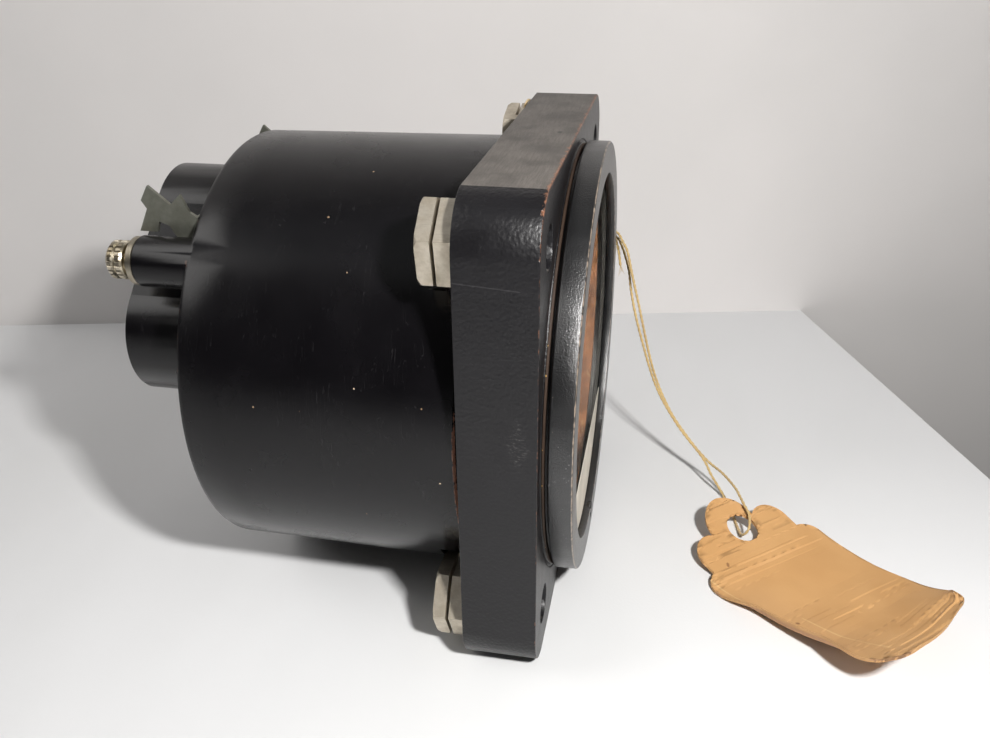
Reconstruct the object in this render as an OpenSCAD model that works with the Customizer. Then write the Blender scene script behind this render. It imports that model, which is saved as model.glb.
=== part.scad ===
// Panel temperature gauge for an aircraft: a moulded square flange with split insert nuts, a separate
// drum case, a cemented bezel with its glass, and the moving coil movement that turns the pointer.
// The origin is on the dial axis at the flange's panel face. The dial faces -Y and the terminals +Y.

/* [Flange] */
// Side of the square flange
flange_w = 60.3; // [59.6:0.1:63]
// Thickness of the flange
flange_t = 9; // [8.5:0.1:11]
// Radius of the flange's four corners
corner_r = 6.35; // [4:0.05:7]
// How far the top and bottom flats are machined into the corner rounds
corner_trim = 0.1; // [0.05:0.05:0.3]
// Distance between neighbouring panel screws
hole_pitch = 47.14; // [46.6:0.02:47.6]
// Diameter of the open part of each panel screw hole
hole_d = 5; // [4.4:0.1:5.4]

/* [Insert nuts] */
// Width of an insert nut across its flats
nut_af = 9; // [7.5:0.1:9.2]
// Length of the hexagon behind the flange
nut_len = 4.13; // [3.6:0.01:6]
// Length of the part of the hexagon between the flange and the locking slit
nut_root_len = 2.1; // [1.6:0.1:2.4]
// Width of the locking slit
nut_slit = 0.4; // [0.25:0.05:0.6]
// Diameter of the nut's shank inside the flange
nut_shank_d = 6.8; // [6:0.1:7.2]
// Length of the nut's shank inside the flange
nut_shank_len = 4.5; // [3:0.1:5.5]
// Bore of the nut
nut_bore_d = 3.5; // [3:0.1:4]

/* [Bezel and glass] */
// Outer diameter of the bezel
bezel_d = 57; // [56.6:0.1:58]
// Height of the step round the bezel's foot
step_h = 0.15; // [0.15:0.05:0.35]
// Height of the bead of cement
bead_h = 0.25; // [0.2:0.05:0.4]
// Height of the groove below the bezel ring
groove_h = 0.4; // [0.3:0.05:0.6]
// Height of the bezel ring
ring_h = 2.86; // [2.6:0.02:3.2]
// Diameter of the window
window_d = 49; // [46:0.2:49.6]
// Thickness of the bezel's lip in front of the glass
lip_t = 1.16; // [0.9:0.02:1.4]
// Thickness of the glass
glass_t = 1.5; // [1:0.1:2]
// Thickness of the gasket behind the glass
gasket_t = 0.5; // [0.3:0.1:0.7]
// Thickness of the spring ring that holds the glass
retainer_t = 0.6; // [0.4:0.1:0.8]

/* [Drum case] */
// Outer diameter of the drum
drum_d = 57.6; // [57.2:0.1:58]
// Length of the drum from its front edge to its rear face
drum_len = 33.4; // [33:0.1:40]
// How much smaller the drum's radius is at its rear than at its front, the draft of its mould
drum_draft = 0.4; // [0.1:0.1:0.6]
// Gap between the flange and the drum's front edge
drum_gap = 0.5; // [0.3:0.1:1]
// Wall thickness of the drum
drum_wall = 1.9; // [1.8:0.1:2.1]
// Thickness of the drum's rear wall
rear_wall = 2.2; // [1.6:0.1:2.6]
// Length of the three-cornered boss on the rear wall
boss_len = 11.1; // [9.6:0.1:13]
// Radius of the boss's upper corner
boss_crown_r = 9; // [8.4:0.1:9.6]
// Radius of the boss's two lower corners
boss_foot_r = 8.3; // [7.8:0.1:8.6]
// Wall thickness of the boss
boss_wall = 1.8; // [1.4:0.1:2.1]

/* [Terminals] */
// Diameter of each terminal post
post_d = 6.2; // [5.6:0.1:6.6]
// Length of each terminal post
post_len = 6.9; // [6.5:0.1:9]
// Angle of the terminal posts above the horizontal
post_angle = 43; // [38:1:46]
// Diameter of each terminal stud
stud_d = 2.84; // [2.4:0.02:3]
// Pitch of the stud's thread
stud_pitch = 0.635; // [0.5:0.005:0.8]
// Thickness of each terminal washer
washer_t = 0.7; // [0.4:0.1:1]
// Diameter of each terminal washer
washer_d = 5.9; // [5.4:0.1:6]
// Diameter of each thumb nut's knurled head
thumb_d = 4.7; // [4.5:0.1:6]
// Length of each thumb nut's knurled head
thumb_len = 2.2; // [2:0.1:3.5]
// Length of each thumb nut's neck
thumb_neck_len = 0.9; // [0.6:0.1:1.4]

/* [Dial and pointer] */
// Depth of the dial's face behind the panel face
dial_depth = 3; // [2.8:0.1:3.4]
// Thickness of the dial
dial_t = 0.6; // [0.4:0.1:0.8]
// Length of the pointer from the axis to its tip
pointer_len = 19.5; // [15:0.5:21]
// Angle of the pointer from upright at rest
rest_angle = -50; // [-55:1:-45]
// Diameter of the zero screw's slotted head
zero_head_d = 2.3; // [2:0.1:2.4]
// Throw of the zero screw's crank pin
zero_throw = 0.4; // [0.3:0.05:0.5]

/* [Movement] */
// Depth of the chassis plate's front behind the panel face
chassis_depth = 6; // [5.9:0.1:6.4]
// Thickness of the chassis plate
chassis_t = 1.6; // [1.2:0.1:1.8]
// Diameter of the iron core
core_d = 12.4; // [11:0.1:12.8]
// Length of the iron core
core_len = 9; // [7:0.1:9.4]
// Bore of the pole pieces
pole_bore_d = 16.2; // [16:0.1:17]
// Outer diameter of the pole pieces
pole_d = 28; // [26.8:0.1:29]
// Outer diameter of the magnet
magnet_d = 40; // [36:0.2:40.4]
// Half angle that each pole piece spans
pole_half_angle = 60; // [59:0.5:62]
// Diameter of the pointer staff
staff_d = 1; // [0.8:0.05:1.2]
// Turns of each hairspring
spring_turns = 4; // [3:1:5]

/* [Tag and string] */
// Width of the paper tag
tag_w = 22.5; // [20:0.5:28]
// Length of the curled tag along the floor
tag_len = 37.7; // [35:0.1:42]
// Thickness of the paper tag
tag_t = 0.4; // [0.3:0.05:0.6]
// Radius that the tag has curled to
tag_curl_r = 33.2; // [30:0.2:60]
// Diameter of the hole in the tag
tag_hole_d = 4.6; // [3.6:0.1:5]
// Diameter of the string
string_d = 0.45; // [0.3:0.05:0.45]

/* [Hidden] */
$fn = 72;
eps = 0.01;
running_gap = 0.05;
seat_gap = 0.05;

half_pitch = hole_pitch / 2;
floor_z = -flange_w / 2;

bezel_r = bezel_d / 2;
step_r = bezel_r - 0.5;
bead_r = step_r + 0.15;
groove_r = bezel_r - 1.2;
neck_wall = 0.85;
face_relief = 0.12;
flange_bore_r = groove_r - neck_wall;
skirt_r = flange_bore_r - seat_gap;
skirt_wall = 1;
skirt_bore_r = skirt_r - skirt_wall;
window_r = window_d / 2;
glass_r = skirt_bore_r - 0.1;
ring_back_y = -(step_h + bead_h + groove_h);
bezel_front_y = ring_back_y - ring_h;
lip_back_y = bezel_front_y + lip_t;
glass_front_y = lip_back_y + seat_gap;
glass_back_y = glass_front_y + glass_t;
gasket_y = glass_back_y + seat_gap;
retainer_y = gasket_y + gasket_t + seat_gap;
spacer_y = retainer_y + retainer_t + seat_gap;
skirt_end_y = dial_depth - 0.6;
glass_edge_w = 1;
ring_bore_r = glass_r - glass_edge_w;

dial_r = flange_bore_r - 0.25;
dial_back_y = dial_depth + dial_t;
chassis_r = flange_bore_r - seat_gap;
chassis_back_y = chassis_depth + chassis_t;
chassis_window_r = 9;
shoulder_r = flange_bore_r - 1.85;

drum_r = drum_d / 2;
drum_front_y = flange_t + drum_gap;
drum_back_y = drum_front_y + drum_len;
drum_back_r = drum_r - drum_draft;
drum_bore_r = drum_r - drum_wall;
drum_socket_r = drum_r - 1.35;
drum_edge_r = 0.8;
register_r = drum_socket_r - seat_gap;
register_len = 5;
register_end_y = flange_t + register_len;
drum_floor_y = drum_back_y - rear_wall;
boss_crown_z = 15;
boss_foot_x = 11.2;
boss_foot_z = 5.2;
boss_end_y = drum_back_y + boss_len;
boss_floor_y = boss_end_y - boss_wall;

post_r = post_d / 2;
post_circle_r = drum_back_r - post_r;
post_x = post_circle_r * cos(post_angle);
post_z = post_circle_r * sin(post_angle);
post_end_y = drum_back_y + post_len;
stud_r = stud_d / 2;
washer_back_y = post_end_y + seat_gap + washer_t;
thumb_front_y = washer_back_y + seat_gap;
thumb_back_y = thumb_front_y + thumb_neck_len + thumb_len;
nut_travel = 2 * stud_pitch;

pillar_r = 1.9;
pillar_circle_r = shoulder_r - pillar_r - 0.2;
pillar_angles = [-30, -90, -150];
pillar_screw_r = 1;

zero_r = window_r + 1;
zero_head_r = zero_head_d / 2;
zero_recess_r = zero_head_r + 0.1;
zero_recess_depth = 0.66;
zero_shank_r = 0.8;
zero_hole_r = zero_shank_r + running_gap;
zero_pin_r = 0.35;
zero_arm_y = dial_back_y + 0.6;
zero_arm_t = 0.6;
zero_pivot_r = 1.8;

staff_r = staff_d / 2;
core_r = core_d / 2;
pole_bore_r = pole_bore_d / 2;
pole_r = pole_d / 2;
magnet_r = magnet_d / 2;
pole_front_y = chassis_back_y + 5.4;
pole_len = 10;
pole_back_y = pole_front_y + pole_len;
core_front_y = pole_front_y + (pole_len - core_len) / 2;
coil_gap = pole_bore_r - core_r;
coil_wall = coil_gap - 1;
coil_in_r = core_r + 0.5;
coil_out_r = coil_in_r + coil_wall;
coil_w = 2.2;
coil_front_y = pole_front_y - 1.2;
coil_back_y = pole_back_y + 1.2;
coil_end_t = 1.2;
former_t = 0.3;
spacer_half_angle = 21;

bridge_t = 1.2;
bridge_w = 6;
bridge_half_len = 12.6;
front_bridge_y = chassis_back_y + seat_gap;
bridge_screw_x = 11.2;
bridge_screw_r = 0.8;
rear_post_len = 4.5;
rear_bridge_y = pole_back_y + rear_post_len;
front_spring_y = front_bridge_y + bridge_t + 0.75;
rear_spring_y = coil_back_y + 0.8;
spring_h = 0.6;
spring_w = 0.12;
spring_in_r = 1.3;
spring_out_r = 4.4;
spring_stud_r = 0.35;
spring_lug_r = spring_out_r + spring_w / 2 + spring_stud_r + 0.12;
hub_r = 1.6;
pointer_t = 0.3;
pointer_y = dial_depth - 1.6;
hub_front_y = pointer_y - 0.7;

spool_r = 6;
spool_core_r = 2.6;
spool_len = boss_len - boss_wall - 0.6;
spool_y = boss_floor_y - spool_len;
wire_r = 0.25;

tag_tip = [5.74, -21.55];
tag_turn = 226.6;
tag_skew = 6.24;
tag_low_point = 16.26;
tag_hole_at = [5.24, 0.9];
tag_lobe_w = 4.1;
string_r = string_d / 2;
string_sides = 8;
knot_at = [30, -2.9, 7.7];
knot_r = 0.85;
nut_corner_r = nut_af / sqrt(3);
nut_relief_r = nut_corner_r + 0.75;
string_round_nut_r = nut_corner_r + string_r + 0.22;
string_behind_y = flange_t + 1.1;
// How far each insert nut's hexagon is turned: the lower and the upper nut of the near side, then the far
nut_turns = [[3, 19], [8, 45]];

// The string's loop round the far upper nut, pulled in where it passes between the nut and the drum
nut_loop = [for (a = [-20, 25, 70, 115, 160, 202, 225, 248, 288])
    let (r = abs(a - 225) < 5 ? string_round_nut_r - 0.5 : string_round_nut_r)
    [half_pitch + r * cos(a), string_behind_y, half_pitch + r * sin(a)]];

// The string's route: from the frayed end through the knot and down one strand, into the tag's hole
// from above, out below the tag, up the other strand and through the knot again, round the flange's
// far edge and the nut behind it, and back through the knot to the other frayed end.
string_route = concat([
    [28.4, -4.5, 2.6], [29.1, -3.9, 5.4], knot_at, [28.6, -3.85, 7.95], [27.3, -4.75, 7.0],
    [26.3, -5.6, 5.75], [25.5, -6.6, 2.2], [25.1, -7.8, -2.1],
    [23.3, -10.9, -12.8], [21.2, -14.1, -19.1], [18.7, -17.6, -22.9], [16.7, -20.6, -25.3],
    [13.6, -23.1, -25.6], [10.1, -24.9, -25.7], [7.9, -25.6, -25.8], [6.2, -26.1, -25.95],
    [4.6, -26.9, -26.75], [2.8, -26.9, -27.9], [2.9, -26.1, -29.2], [5.4, -25.6, -29.8],
    [9.5, -24.8, -29.85], [13.3, -23.6, -29.5], [15.1, -21.6, -27.2], [16.7, -19.9, -24.9],
    [19.1, -15.6, -20.7], [21.0, -11.6, -14.7], [23.1, -8.2, -5.7], [26.0, -6.6, -0.9],
    [26.9, -5.95, 2.5], [27.8, -5.05, 5.0], [28.8, -4.1, 6.7], knot_at, [30.35, -2.8, 10.2],
    [30.8, -1.9, 12.8], [30.9, -0.4, 14.7], [30.9, 4.5, 16.6], [30.8, 8.8, 18.6]],
    nut_loop, [[29.0, string_behind_y, 16.9], [30.8, 8.6, 16.2], [31.0, 4.5, 14.2],
    [31.0, 0.6, 11.7], [30.95, -1.4, 9.5], knot_at, [30.7, -3.4, 6.2], [30.6, -3.9, 4.6]]);

// A solid turned round the dial axis from a profile of [radius, y] points
module turned(profile) {
    rotate([-90, 0, 0]) rotate_extrude() polygon(profile);
}

// A round bar along Y
module bar_y(r, y0, y1) {
    translate([0, y0, 0]) rotate([-90, 0, 0]) cylinder(r = r, h = y1 - y0);
}

// A flat ring or tube along Y
module ring_y(r_out, r_in, y0, y1) {
    turned([[r_in, y0], [r_out, y0], [r_out, y1], [r_in, y1]]);
}

// A plate cut from a flat outline that is drawn as [x, z]
module plate_y(y0, y1) {
    translate([0, y1, 0]) rotate([90, 0, 0]) linear_extrude(y1 - y0) children();
}

// Places a child at each of the four panel screws
module at_panel_screws() {
    for (sx = [-1, 1], sz = [-1, 1]) translate([sx * half_pitch, 0, sz * half_pitch]) children();
}

// Places a child at the near and the far terminal
module at_terminals() {
    for (sx = [-1, 1]) translate([sx * post_x, 0, post_z]) children();
}

// Places a child at each case pillar
module at_pillars() {
    for (a = pillar_angles) rotate([0, -a, 0]) translate([pillar_circle_r, 0, 0]) children();
}

// A closed sector of a disc between two angles, drawn as [x, z]
module sector(r, a0, a1) {
    polygon(concat([[0, 0]], [for (i = [0 : 12]) let (a = a0 + (a1 - a0) * i / 12)
        [r / cos((a1 - a0) / 24) * cos(a), r / cos((a1 - a0) / 24) * sin(a)]]));
}

// A gap at the bottom of a ring, where the zero screw passes
module bottom_gap(w) {
    translate([-w / 2, bezel_front_y, -bezel_r]) cube([w, dial_depth - bezel_front_y, bezel_r / 2]);
}

function unit(v) = v / norm(v);
// A smooth curve through a route: two points for each of its steps
function smooth(route) = [for (i = [0 : len(route) - 2], t = [0, 0.5])
    let (a = route[max(i - 1, 0)], b = route[i], c = route[i + 1], d = route[min(i + 2, len(route) - 1)])
    b + t / 2 * (c - a + t * (2 * a - 5 * b + 4 * c - d + t * (3 * b - a - 3 * c + d)))];
function tangent(path, i) = unit(path[min(i + 1, len(path) - 1)] - path[max(i - 1, 0)]);
// The side direction of each ring, carried along the path without a twist
function carried(path, i, side) = let (t = tangent(path, i)) unit(side - (side * t) * t);
function sides(path, i = 0, side = [0.31, 0.22, 0.92]) = let (s = carried(path, i, side))
    i == len(path) - 1 ? [s] : concat([s], sides(path, i + 1, s));

// A round tube swept along a path
module swept(path, r, n) {
    side = sides(path);
    count = len(path);
    points = [for (i = [0 : count - 1], k = [0 : n - 1])
        let (t = tangent(path, i), s = side[i], a = 360 * k / n)
        path[i] + r * (cos(a) * s + sin(a) * cross(t, s))];
    walls = [for (i = [0 : count - 2], k = [0 : n - 1], half = [0, 1])
        let (a = i * n + k, b = i * n + (k + 1) % n)
        half == 0 ? [a, b, a + n] : [b, b + n, a + n]];
    starts = [for (k = [1 : n - 2]) [0, k + 1, k]];
    ends = [for (k = [1 : n - 2]) [(count - 1) * n, (count - 1) * n + k, (count - 1) * n + k + 1]];
    polyhedron(points, concat(walls, starts, ends));
}

module flange_outline() {
    half = flange_w / 2;
    tall = half + corner_trim;
    intersection() {
        square(flange_w, center = true);
        union() {
            square([flange_w, 2 * (tall - corner_r)], center = true);
            square([flange_w - 2 * corner_r, 2 * tall], center = true);
            for (sx = [-1, 1], sz = [-1, 1])
                translate([sx * (half - corner_r), sz * (tall - corner_r)]) circle(corner_r);
        }
    }
}

module flange_frame() color("#1c1a1b") difference() {
    union() {
        plate_y(0, flange_t) flange_outline();
        turned([[shoulder_r, -step_h], [step_r, -step_h], [step_r, eps], [shoulder_r, eps]]);
        turned([[shoulder_r, ring_back_y], [groove_r, ring_back_y], [groove_r, eps], [shoulder_r, eps]]);
        ring_y(register_r, shoulder_r, flange_t - eps, register_end_y);
    }
    // A shallow relief round the bezel, so that the panel seats on the face outside it
    ring_y(bezel_r + 0.15, step_r, -eps, face_relief);
    bar_y(flange_bore_r, ring_back_y - 1, chassis_back_y + seat_gap);
    bar_y(shoulder_r, 0, register_end_y + 1);
    at_panel_screws() bar_y(hole_d / 2, -1, flange_t);
    at_panel_screws() bar_y(nut_shank_d / 2, flange_t - nut_shank_len, flange_t + 1);
}

// One insert nut, slit from its outer side so that its end closes on the screw
module insert_nut(turn, slit_side) {
    end_y = flange_t + nut_len;
    slit_y = flange_t + nut_root_len;
    chamfer = 0.35;
    slit_past = nut_bore_d / 2 + 0.6;
    difference() {
        union() {
            bar_y(nut_shank_d / 2 - running_gap, flange_t - nut_shank_len, flange_t + eps);
            intersection() {
                translate([0, flange_t, 0]) rotate([-90, turn, 0]) cylinder(r = nut_corner_r, h = nut_len, $fn = 6);
                turned([[0, flange_t - 1], [nut_corner_r + 1, flange_t - 1],
                    [nut_corner_r + 1, end_y - chamfer - 1.3], [nut_corner_r - chamfer, end_y],
                    [nut_corner_r - chamfer - 1, end_y + 0.9], [0, end_y + 0.9]]);
            }
        }
        bar_y(nut_bore_d / 2, 0, end_y + 1);
        translate([slit_side > 0 ? -slit_past : slit_past - 2 * nut_corner_r, slit_y, -nut_corner_r])
            cube([2 * nut_corner_r, nut_slit, 2 * nut_corner_r]);
    }
}

module insert_nuts() color("#a39b88") {
    for (sx = [-1, 1], sz = [-1, 1])
        translate([sx * half_pitch, 0, sz * half_pitch])
            insert_nut(nut_turns[sx > 0 ? 1 : 0][sz > 0 ? 1 : 0], sx);
}

// The boss's outline as [x, z]: three round corners and the straight sides that touch them
module boss_outline(inset) {
    crown = [0, boss_crown_z];
    crown_r = boss_crown_r - inset;
    foot_r = boss_foot_r - inset;
    run = [boss_foot_x, boss_crown_z - boss_foot_z];
    lean = (crown_r - foot_r) / norm(run);
    out = lean * unit(run) + sqrt(1 - lean * lean) * unit([-run[1], run[0]]);
    translate(crown) circle(crown_r);
    for (sx = [-1, 1]) translate([sx * boss_foot_x, boss_foot_z]) circle(foot_r);
    for (sx = [-1, 1]) let (o = [-sx * out[0], out[1]], foot = [sx * boss_foot_x, boss_foot_z])
        polygon([crown, crown + crown_r * o, foot + foot_r * o, foot, [foot[0], foot[1] - foot_r],
            [0, foot[1] - foot_r]]);
}

module drum_case() color("#151416") difference() {
    union() {
        turned([[0, drum_floor_y], [drum_bore_r - 1, drum_floor_y], [drum_bore_r - 1, drum_front_y],
            [drum_r - 0.25, drum_front_y], [drum_r, drum_front_y + 0.25],
            [drum_back_r, drum_back_y - drum_edge_r], [drum_back_r - 0.25, drum_back_y - 0.25],
            [drum_back_r - drum_edge_r, drum_back_y], [0, drum_back_y]]);
        plate_y(drum_floor_y, boss_end_y) boss_outline(0);
        at_terminals() turned([[0, drum_floor_y], [post_r, drum_floor_y], [post_r, post_end_y - 0.2],
            [post_r - 0.2, post_end_y], [0, post_end_y]]);
        // A web joins each terminal post to the boss
        for (sx = [-1, 1]) plate_y(drum_floor_y, drum_back_y + post_len * 0.25)
            polygon([[sx * post_x, post_z + 1], [sx * post_x, post_z - 1.6],
                [sx * boss_foot_x, boss_foot_z + 1], [sx * boss_foot_x, boss_foot_z + boss_foot_r]]);
    }
    bar_y(drum_bore_r, register_end_y + seat_gap, drum_floor_y);
    bar_y(drum_socket_r, drum_front_y - 1, register_end_y + seat_gap);
    at_panel_screws() bar_y(nut_relief_r, drum_front_y - 1, flange_t + nut_len + 0.3);
    plate_y(drum_floor_y - 1, boss_floor_y) boss_outline(boss_wall);
    translate([0, 0, boss_foot_z]) bar_y(1 + eps, boss_floor_y - 1, boss_floor_y + boss_wall * 0.7);
    at_terminals() bar_y(stud_r + eps, drum_floor_y - 1, post_end_y + 1);
    at_pillars() bar_y(pillar_screw_r + 0.15, drum_floor_y - 1, drum_back_y + 1);
}

module bezel_ring() color("#1a1a1c") difference() {
    turned([[window_r, bezel_front_y], [bezel_r - 0.2, bezel_front_y], [bezel_r, bezel_front_y + 0.2],
        [bezel_r, ring_back_y - 0.15], [bezel_r - 0.15, ring_back_y], [skirt_r, ring_back_y],
        [skirt_r, skirt_end_y], [skirt_bore_r, skirt_end_y], [skirt_bore_r, lip_back_y],
        [window_r, lip_back_y]]);
    translate([0, 0, -zero_r]) bar_y(zero_recess_r, bezel_front_y - 1, bezel_front_y + zero_recess_depth);
    translate([0, 0, -zero_r]) bar_y(zero_hole_r, bezel_front_y - 1, skirt_end_y + 1);
    translate([0, 0, -zero_r]) bar_y(zero_shank_r + 0.2, lip_back_y, skirt_end_y + 1);
}

module bezel_cement() color("#7a4a2a")
    ring_y(bead_r, groove_r + eps, -step_h - bead_h, -step_h);

module cover_glass() color("#c8d4d0", 0.35) difference() {
    bar_y(glass_r, glass_front_y, glass_back_y);
    translate([0, 0, -zero_r]) bar_y(zero_shank_r + 0.3, glass_front_y - 1, glass_back_y + 1);
}

module glass_gasket() color("#2a2623") difference() {
    ring_y(glass_r, ring_bore_r, gasket_y, gasket_y + gasket_t);
    bottom_gap(3);
}

module glass_retainer() color("#34322f") difference() {
    ring_y(glass_r, ring_bore_r, retainer_y, retainer_y + retainer_t);
    bottom_gap(4.5);
}

module fibre_spacer() color("#8a5a36") difference() {
    ring_y(glass_r, ring_bore_r, spacer_y, dial_depth - seat_gap);
    bottom_gap(3.6);
}

// The zero screw, which turns in the bezel's lip and carries a crank pin behind the dial
module zero_screw() color("#3a3835") translate([0, 0, -zero_r]) difference() {
    union() {
        bar_y(zero_head_r, bezel_front_y + 0.2, bezel_front_y + zero_recess_depth - running_gap);
        bar_y(zero_shank_r, bezel_front_y + 0.3, dial_depth - 0.6);
        translate([0, 0, zero_throw]) bar_y(zero_pin_r, dial_depth - 0.61, zero_arm_y + zero_arm_t + 0.2);
    }
    translate([-zero_head_r, bezel_front_y, -0.2]) cube([2 * zero_head_r, 0.5, 0.4]);
}

// The zero arm, which swings round the front jewel's neck and holds the front hairspring's outer end
module zero_arm() color("#b89a55") difference() {
    slot_half = zero_pin_r + 0.08;
    arm_half = 1.1;
    tip_z = -(zero_r + zero_throw + 0.7 - 2 * zero_throw);
    union() {
        bar_y(zero_pivot_r + 1.5, zero_arm_y, zero_arm_y + zero_arm_t);
        plate_y(zero_arm_y, zero_arm_y + zero_arm_t) polygon([[-arm_half, 0], [arm_half, 0],
            [arm_half, tip_z], [-arm_half, tip_z]]);
        translate([0, 0, -spring_lug_r])
            bar_y(spring_stud_r, zero_arm_y + eps, front_spring_y + spring_h);
    }
    bar_y(zero_pivot_r + running_gap, zero_arm_y - 1, zero_arm_y + zero_arm_t + 1);
    translate([-slot_half, zero_arm_y - 1, tip_z - 1])
        cube([2 * slot_half, zero_arm_t + 2, 1 + zero_throw * 2 + 1.6]);
}

module dial_plate() color("#1b1a19") difference() {
    bar_y(dial_r, dial_depth, dial_back_y);
    bar_y(2.8, dial_depth - 1, dial_back_y + 1);
    translate([0, 0, -zero_r]) bar_y(1.7, dial_depth - 1, dial_back_y + 1);
    for (sx = [-1, 1]) translate([sx * 15, 0, 0]) bar_y(0.8, dial_depth - 1, dial_back_y + 1);
}

module dial_posts() color("#b39a5a")
    for (sx = [-1, 1]) translate([sx * 15, 0, 0]) difference() {
        bar_y(1.8, dial_back_y, chassis_depth);
        bar_y(0.75, dial_back_y - 1, chassis_depth + 1);
    }

module dial_screws() color("#9a958a")
    for (sx = [-1, 1]) translate([sx * 15, 0, 0]) difference() {
        union() {
            turned([[0, dial_depth - 0.6], [1, dial_depth - 0.6], [1.4, dial_depth - 0.3],
                [1.4, dial_depth], [0, dial_depth]]);
            bar_y(0.7, dial_depth - eps, chassis_depth - 0.2);
        }
        translate([-1.5, dial_depth - 0.7, -0.2]) cube([3, 0.4, 0.4]);
    }

module chassis_plate() color("#9c9c98") difference() {
    bar_y(chassis_r, chassis_depth, chassis_back_y);
    bar_y(chassis_window_r, chassis_depth - 1, chassis_back_y + 1);
    for (sx = [-1, 1]) translate([sx * bridge_screw_x, 0, 0])
        bar_y(bridge_screw_r, chassis_depth - 1, chassis_back_y + 1);
    at_pillars() bar_y(pillar_screw_r + 0.1, chassis_depth - 1, chassis_back_y + 1);
    at_pillars() bar_y(pillar_screw_r + 0.9, chassis_depth - 1, chassis_depth + 0.8);
}

module chassis_pillars() color("#b39a5a") at_pillars() difference() {
    bar_y(pillar_r, chassis_back_y, drum_floor_y);
    bar_y(pillar_screw_r, chassis_back_y - 1, chassis_back_y + 6);
    bar_y(pillar_screw_r, drum_floor_y - 6, drum_floor_y + 1);
}

module chassis_screws() color("#9a958a") at_pillars() difference() {
    union() {
        bar_y(pillar_screw_r + 0.8, chassis_depth + 0.1, chassis_depth + 0.8);
        bar_y(pillar_screw_r - eps, chassis_depth + 0.7, chassis_back_y + 4);
    }
    translate([-2, chassis_depth, -0.2]) cube([4, 0.4, 0.4]);
}

module case_screws() color("#6e6a62") at_pillars() difference() {
    head_h = 1.5;
    union() {
        turned([[0, drum_back_y], [2, drum_back_y], [2, drum_back_y + head_h - 0.4],
            [1.6, drum_back_y + head_h], [0, drum_back_y + head_h]]);
        bar_y(pillar_screw_r - eps, drum_floor_y - 4, drum_back_y + eps);
    }
    translate([-2.5, drum_back_y + head_h - 0.6, -0.25]) cube([5, 1, 0.5]);
}

module movement_posts() color("#b39a5a")
    for (a = [45 : 90 : 315]) rotate([0, a, 0])
        translate([(pole_bore_r + pole_r) / 2, 0, 0]) bar_y(1.6, chassis_back_y, pole_front_y);

module pole_pieces() color("#6b6966") for (side = [0, 180]) intersection() {
    ring_y(pole_r, pole_bore_r, pole_front_y, pole_back_y);
    plate_y(pole_front_y - 1, pole_back_y + 1)
        sector(pole_r + 1, side - pole_half_angle, side + pole_half_angle);
}

module magnet() color("#5a5f63") difference() {
    ring_y(magnet_r, pole_r + seat_gap, pole_front_y - 0.5, pole_back_y + 0.5);
    plate_y(pole_front_y - 2, pole_back_y + 2) sector(magnet_r + 2, -115, -65);
}

module iron_core() color("#77757a") difference() {
    bar_y(core_r, core_front_y, core_front_y + core_len);
    bar_y(1.2, core_front_y - 1, core_front_y + 1);
}

module core_spacers() color("#b89a55") for (side = [90, -90]) intersection() {
    ring_y(pole_r - 0.2, core_r + eps, pole_front_y + 2, pole_back_y - 2);
    plate_y(pole_front_y, pole_back_y)
        sector(pole_r + 1, side - spacer_half_angle, side + spacer_half_angle);
}

module bridge_bar(y0) difference() {
    plate_y(y0, y0 + bridge_t) square([2 * bridge_half_len, bridge_w], center = true);
    bar_y(zero_pivot_r, y0 - 1, y0 + bridge_t + 1);
    for (sx = [-1, 1]) translate([sx * bridge_screw_x, 0, 0]) bar_y(bridge_screw_r, y0 - 1, y0 + bridge_t + 1);
}

module front_bridge() color("#a8a69f") bridge_bar(front_bridge_y);

// The front jewel and its neck: the zero arm swings on the neck and the staff runs in the bore
module front_jewel() color("#8f3f4a") difference() {
    union() {
        bar_y(zero_pivot_r + 0.7, zero_arm_y - 0.45, zero_arm_y - 0.05);
        bar_y(zero_pivot_r, zero_arm_y - 0.1, front_bridge_y + bridge_t);
    }
    bar_y(staff_r + running_gap, zero_arm_y - 1, front_bridge_y + bridge_t + 1);
}

module rear_bridge() color("#a8a69f") {
    bridge_bar(rear_bridge_y);
    for (sx = [-1, 1]) translate([sx * bridge_screw_x, 0, 0]) difference() {
        bar_y(1.6, pole_back_y, rear_bridge_y + eps);
        bar_y(bridge_screw_r, rear_bridge_y - 3, rear_bridge_y + 1);
    }
    // The lug that holds the rear hairspring's outer end
    translate([0, 0, -spring_lug_r]) bar_y(spring_stud_r, rear_spring_y, rear_bridge_y + 0.3);
    plate_y(rear_bridge_y, rear_bridge_y + bridge_t)
        polygon([[-1, -2], [1, -2], [1, -spring_lug_r - 0.6], [-1, -spring_lug_r - 0.6]]);
}

module rear_jewel() color("#8f3f4a") difference() {
    union() {
        bar_y(zero_pivot_r, rear_bridge_y - 0.8, rear_bridge_y + bridge_t + 0.6);
        bar_y(zero_pivot_r + 0.7, rear_bridge_y + bridge_t, rear_bridge_y + bridge_t + 0.8);
    }
    bar_y(staff_r + running_gap, rear_bridge_y - 2, rear_bridge_y + bridge_t);
}

module bridge_screw(y_head, y_tip, dir) difference() {
    union() {
        bar_y(1.5, min(y_head, y_head + dir), max(y_head, y_head + dir));
        bar_y(bridge_screw_r - running_gap, min(y_head, y_tip), max(y_head, y_tip));
    }
    translate([-2, y_head + dir * 0.8 - 0.25, -0.2]) cube([4, 0.5, 0.4]);
}

module bridge_screws() color("#9a958a") for (sx = [-1, 1]) translate([sx * bridge_screw_x, 0, 0]) {
    bridge_screw(front_bridge_y + bridge_t, chassis_depth + 0.4, 1);
    bridge_screw(rear_bridge_y + bridge_t, rear_bridge_y - 2.5, 1);
}

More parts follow.
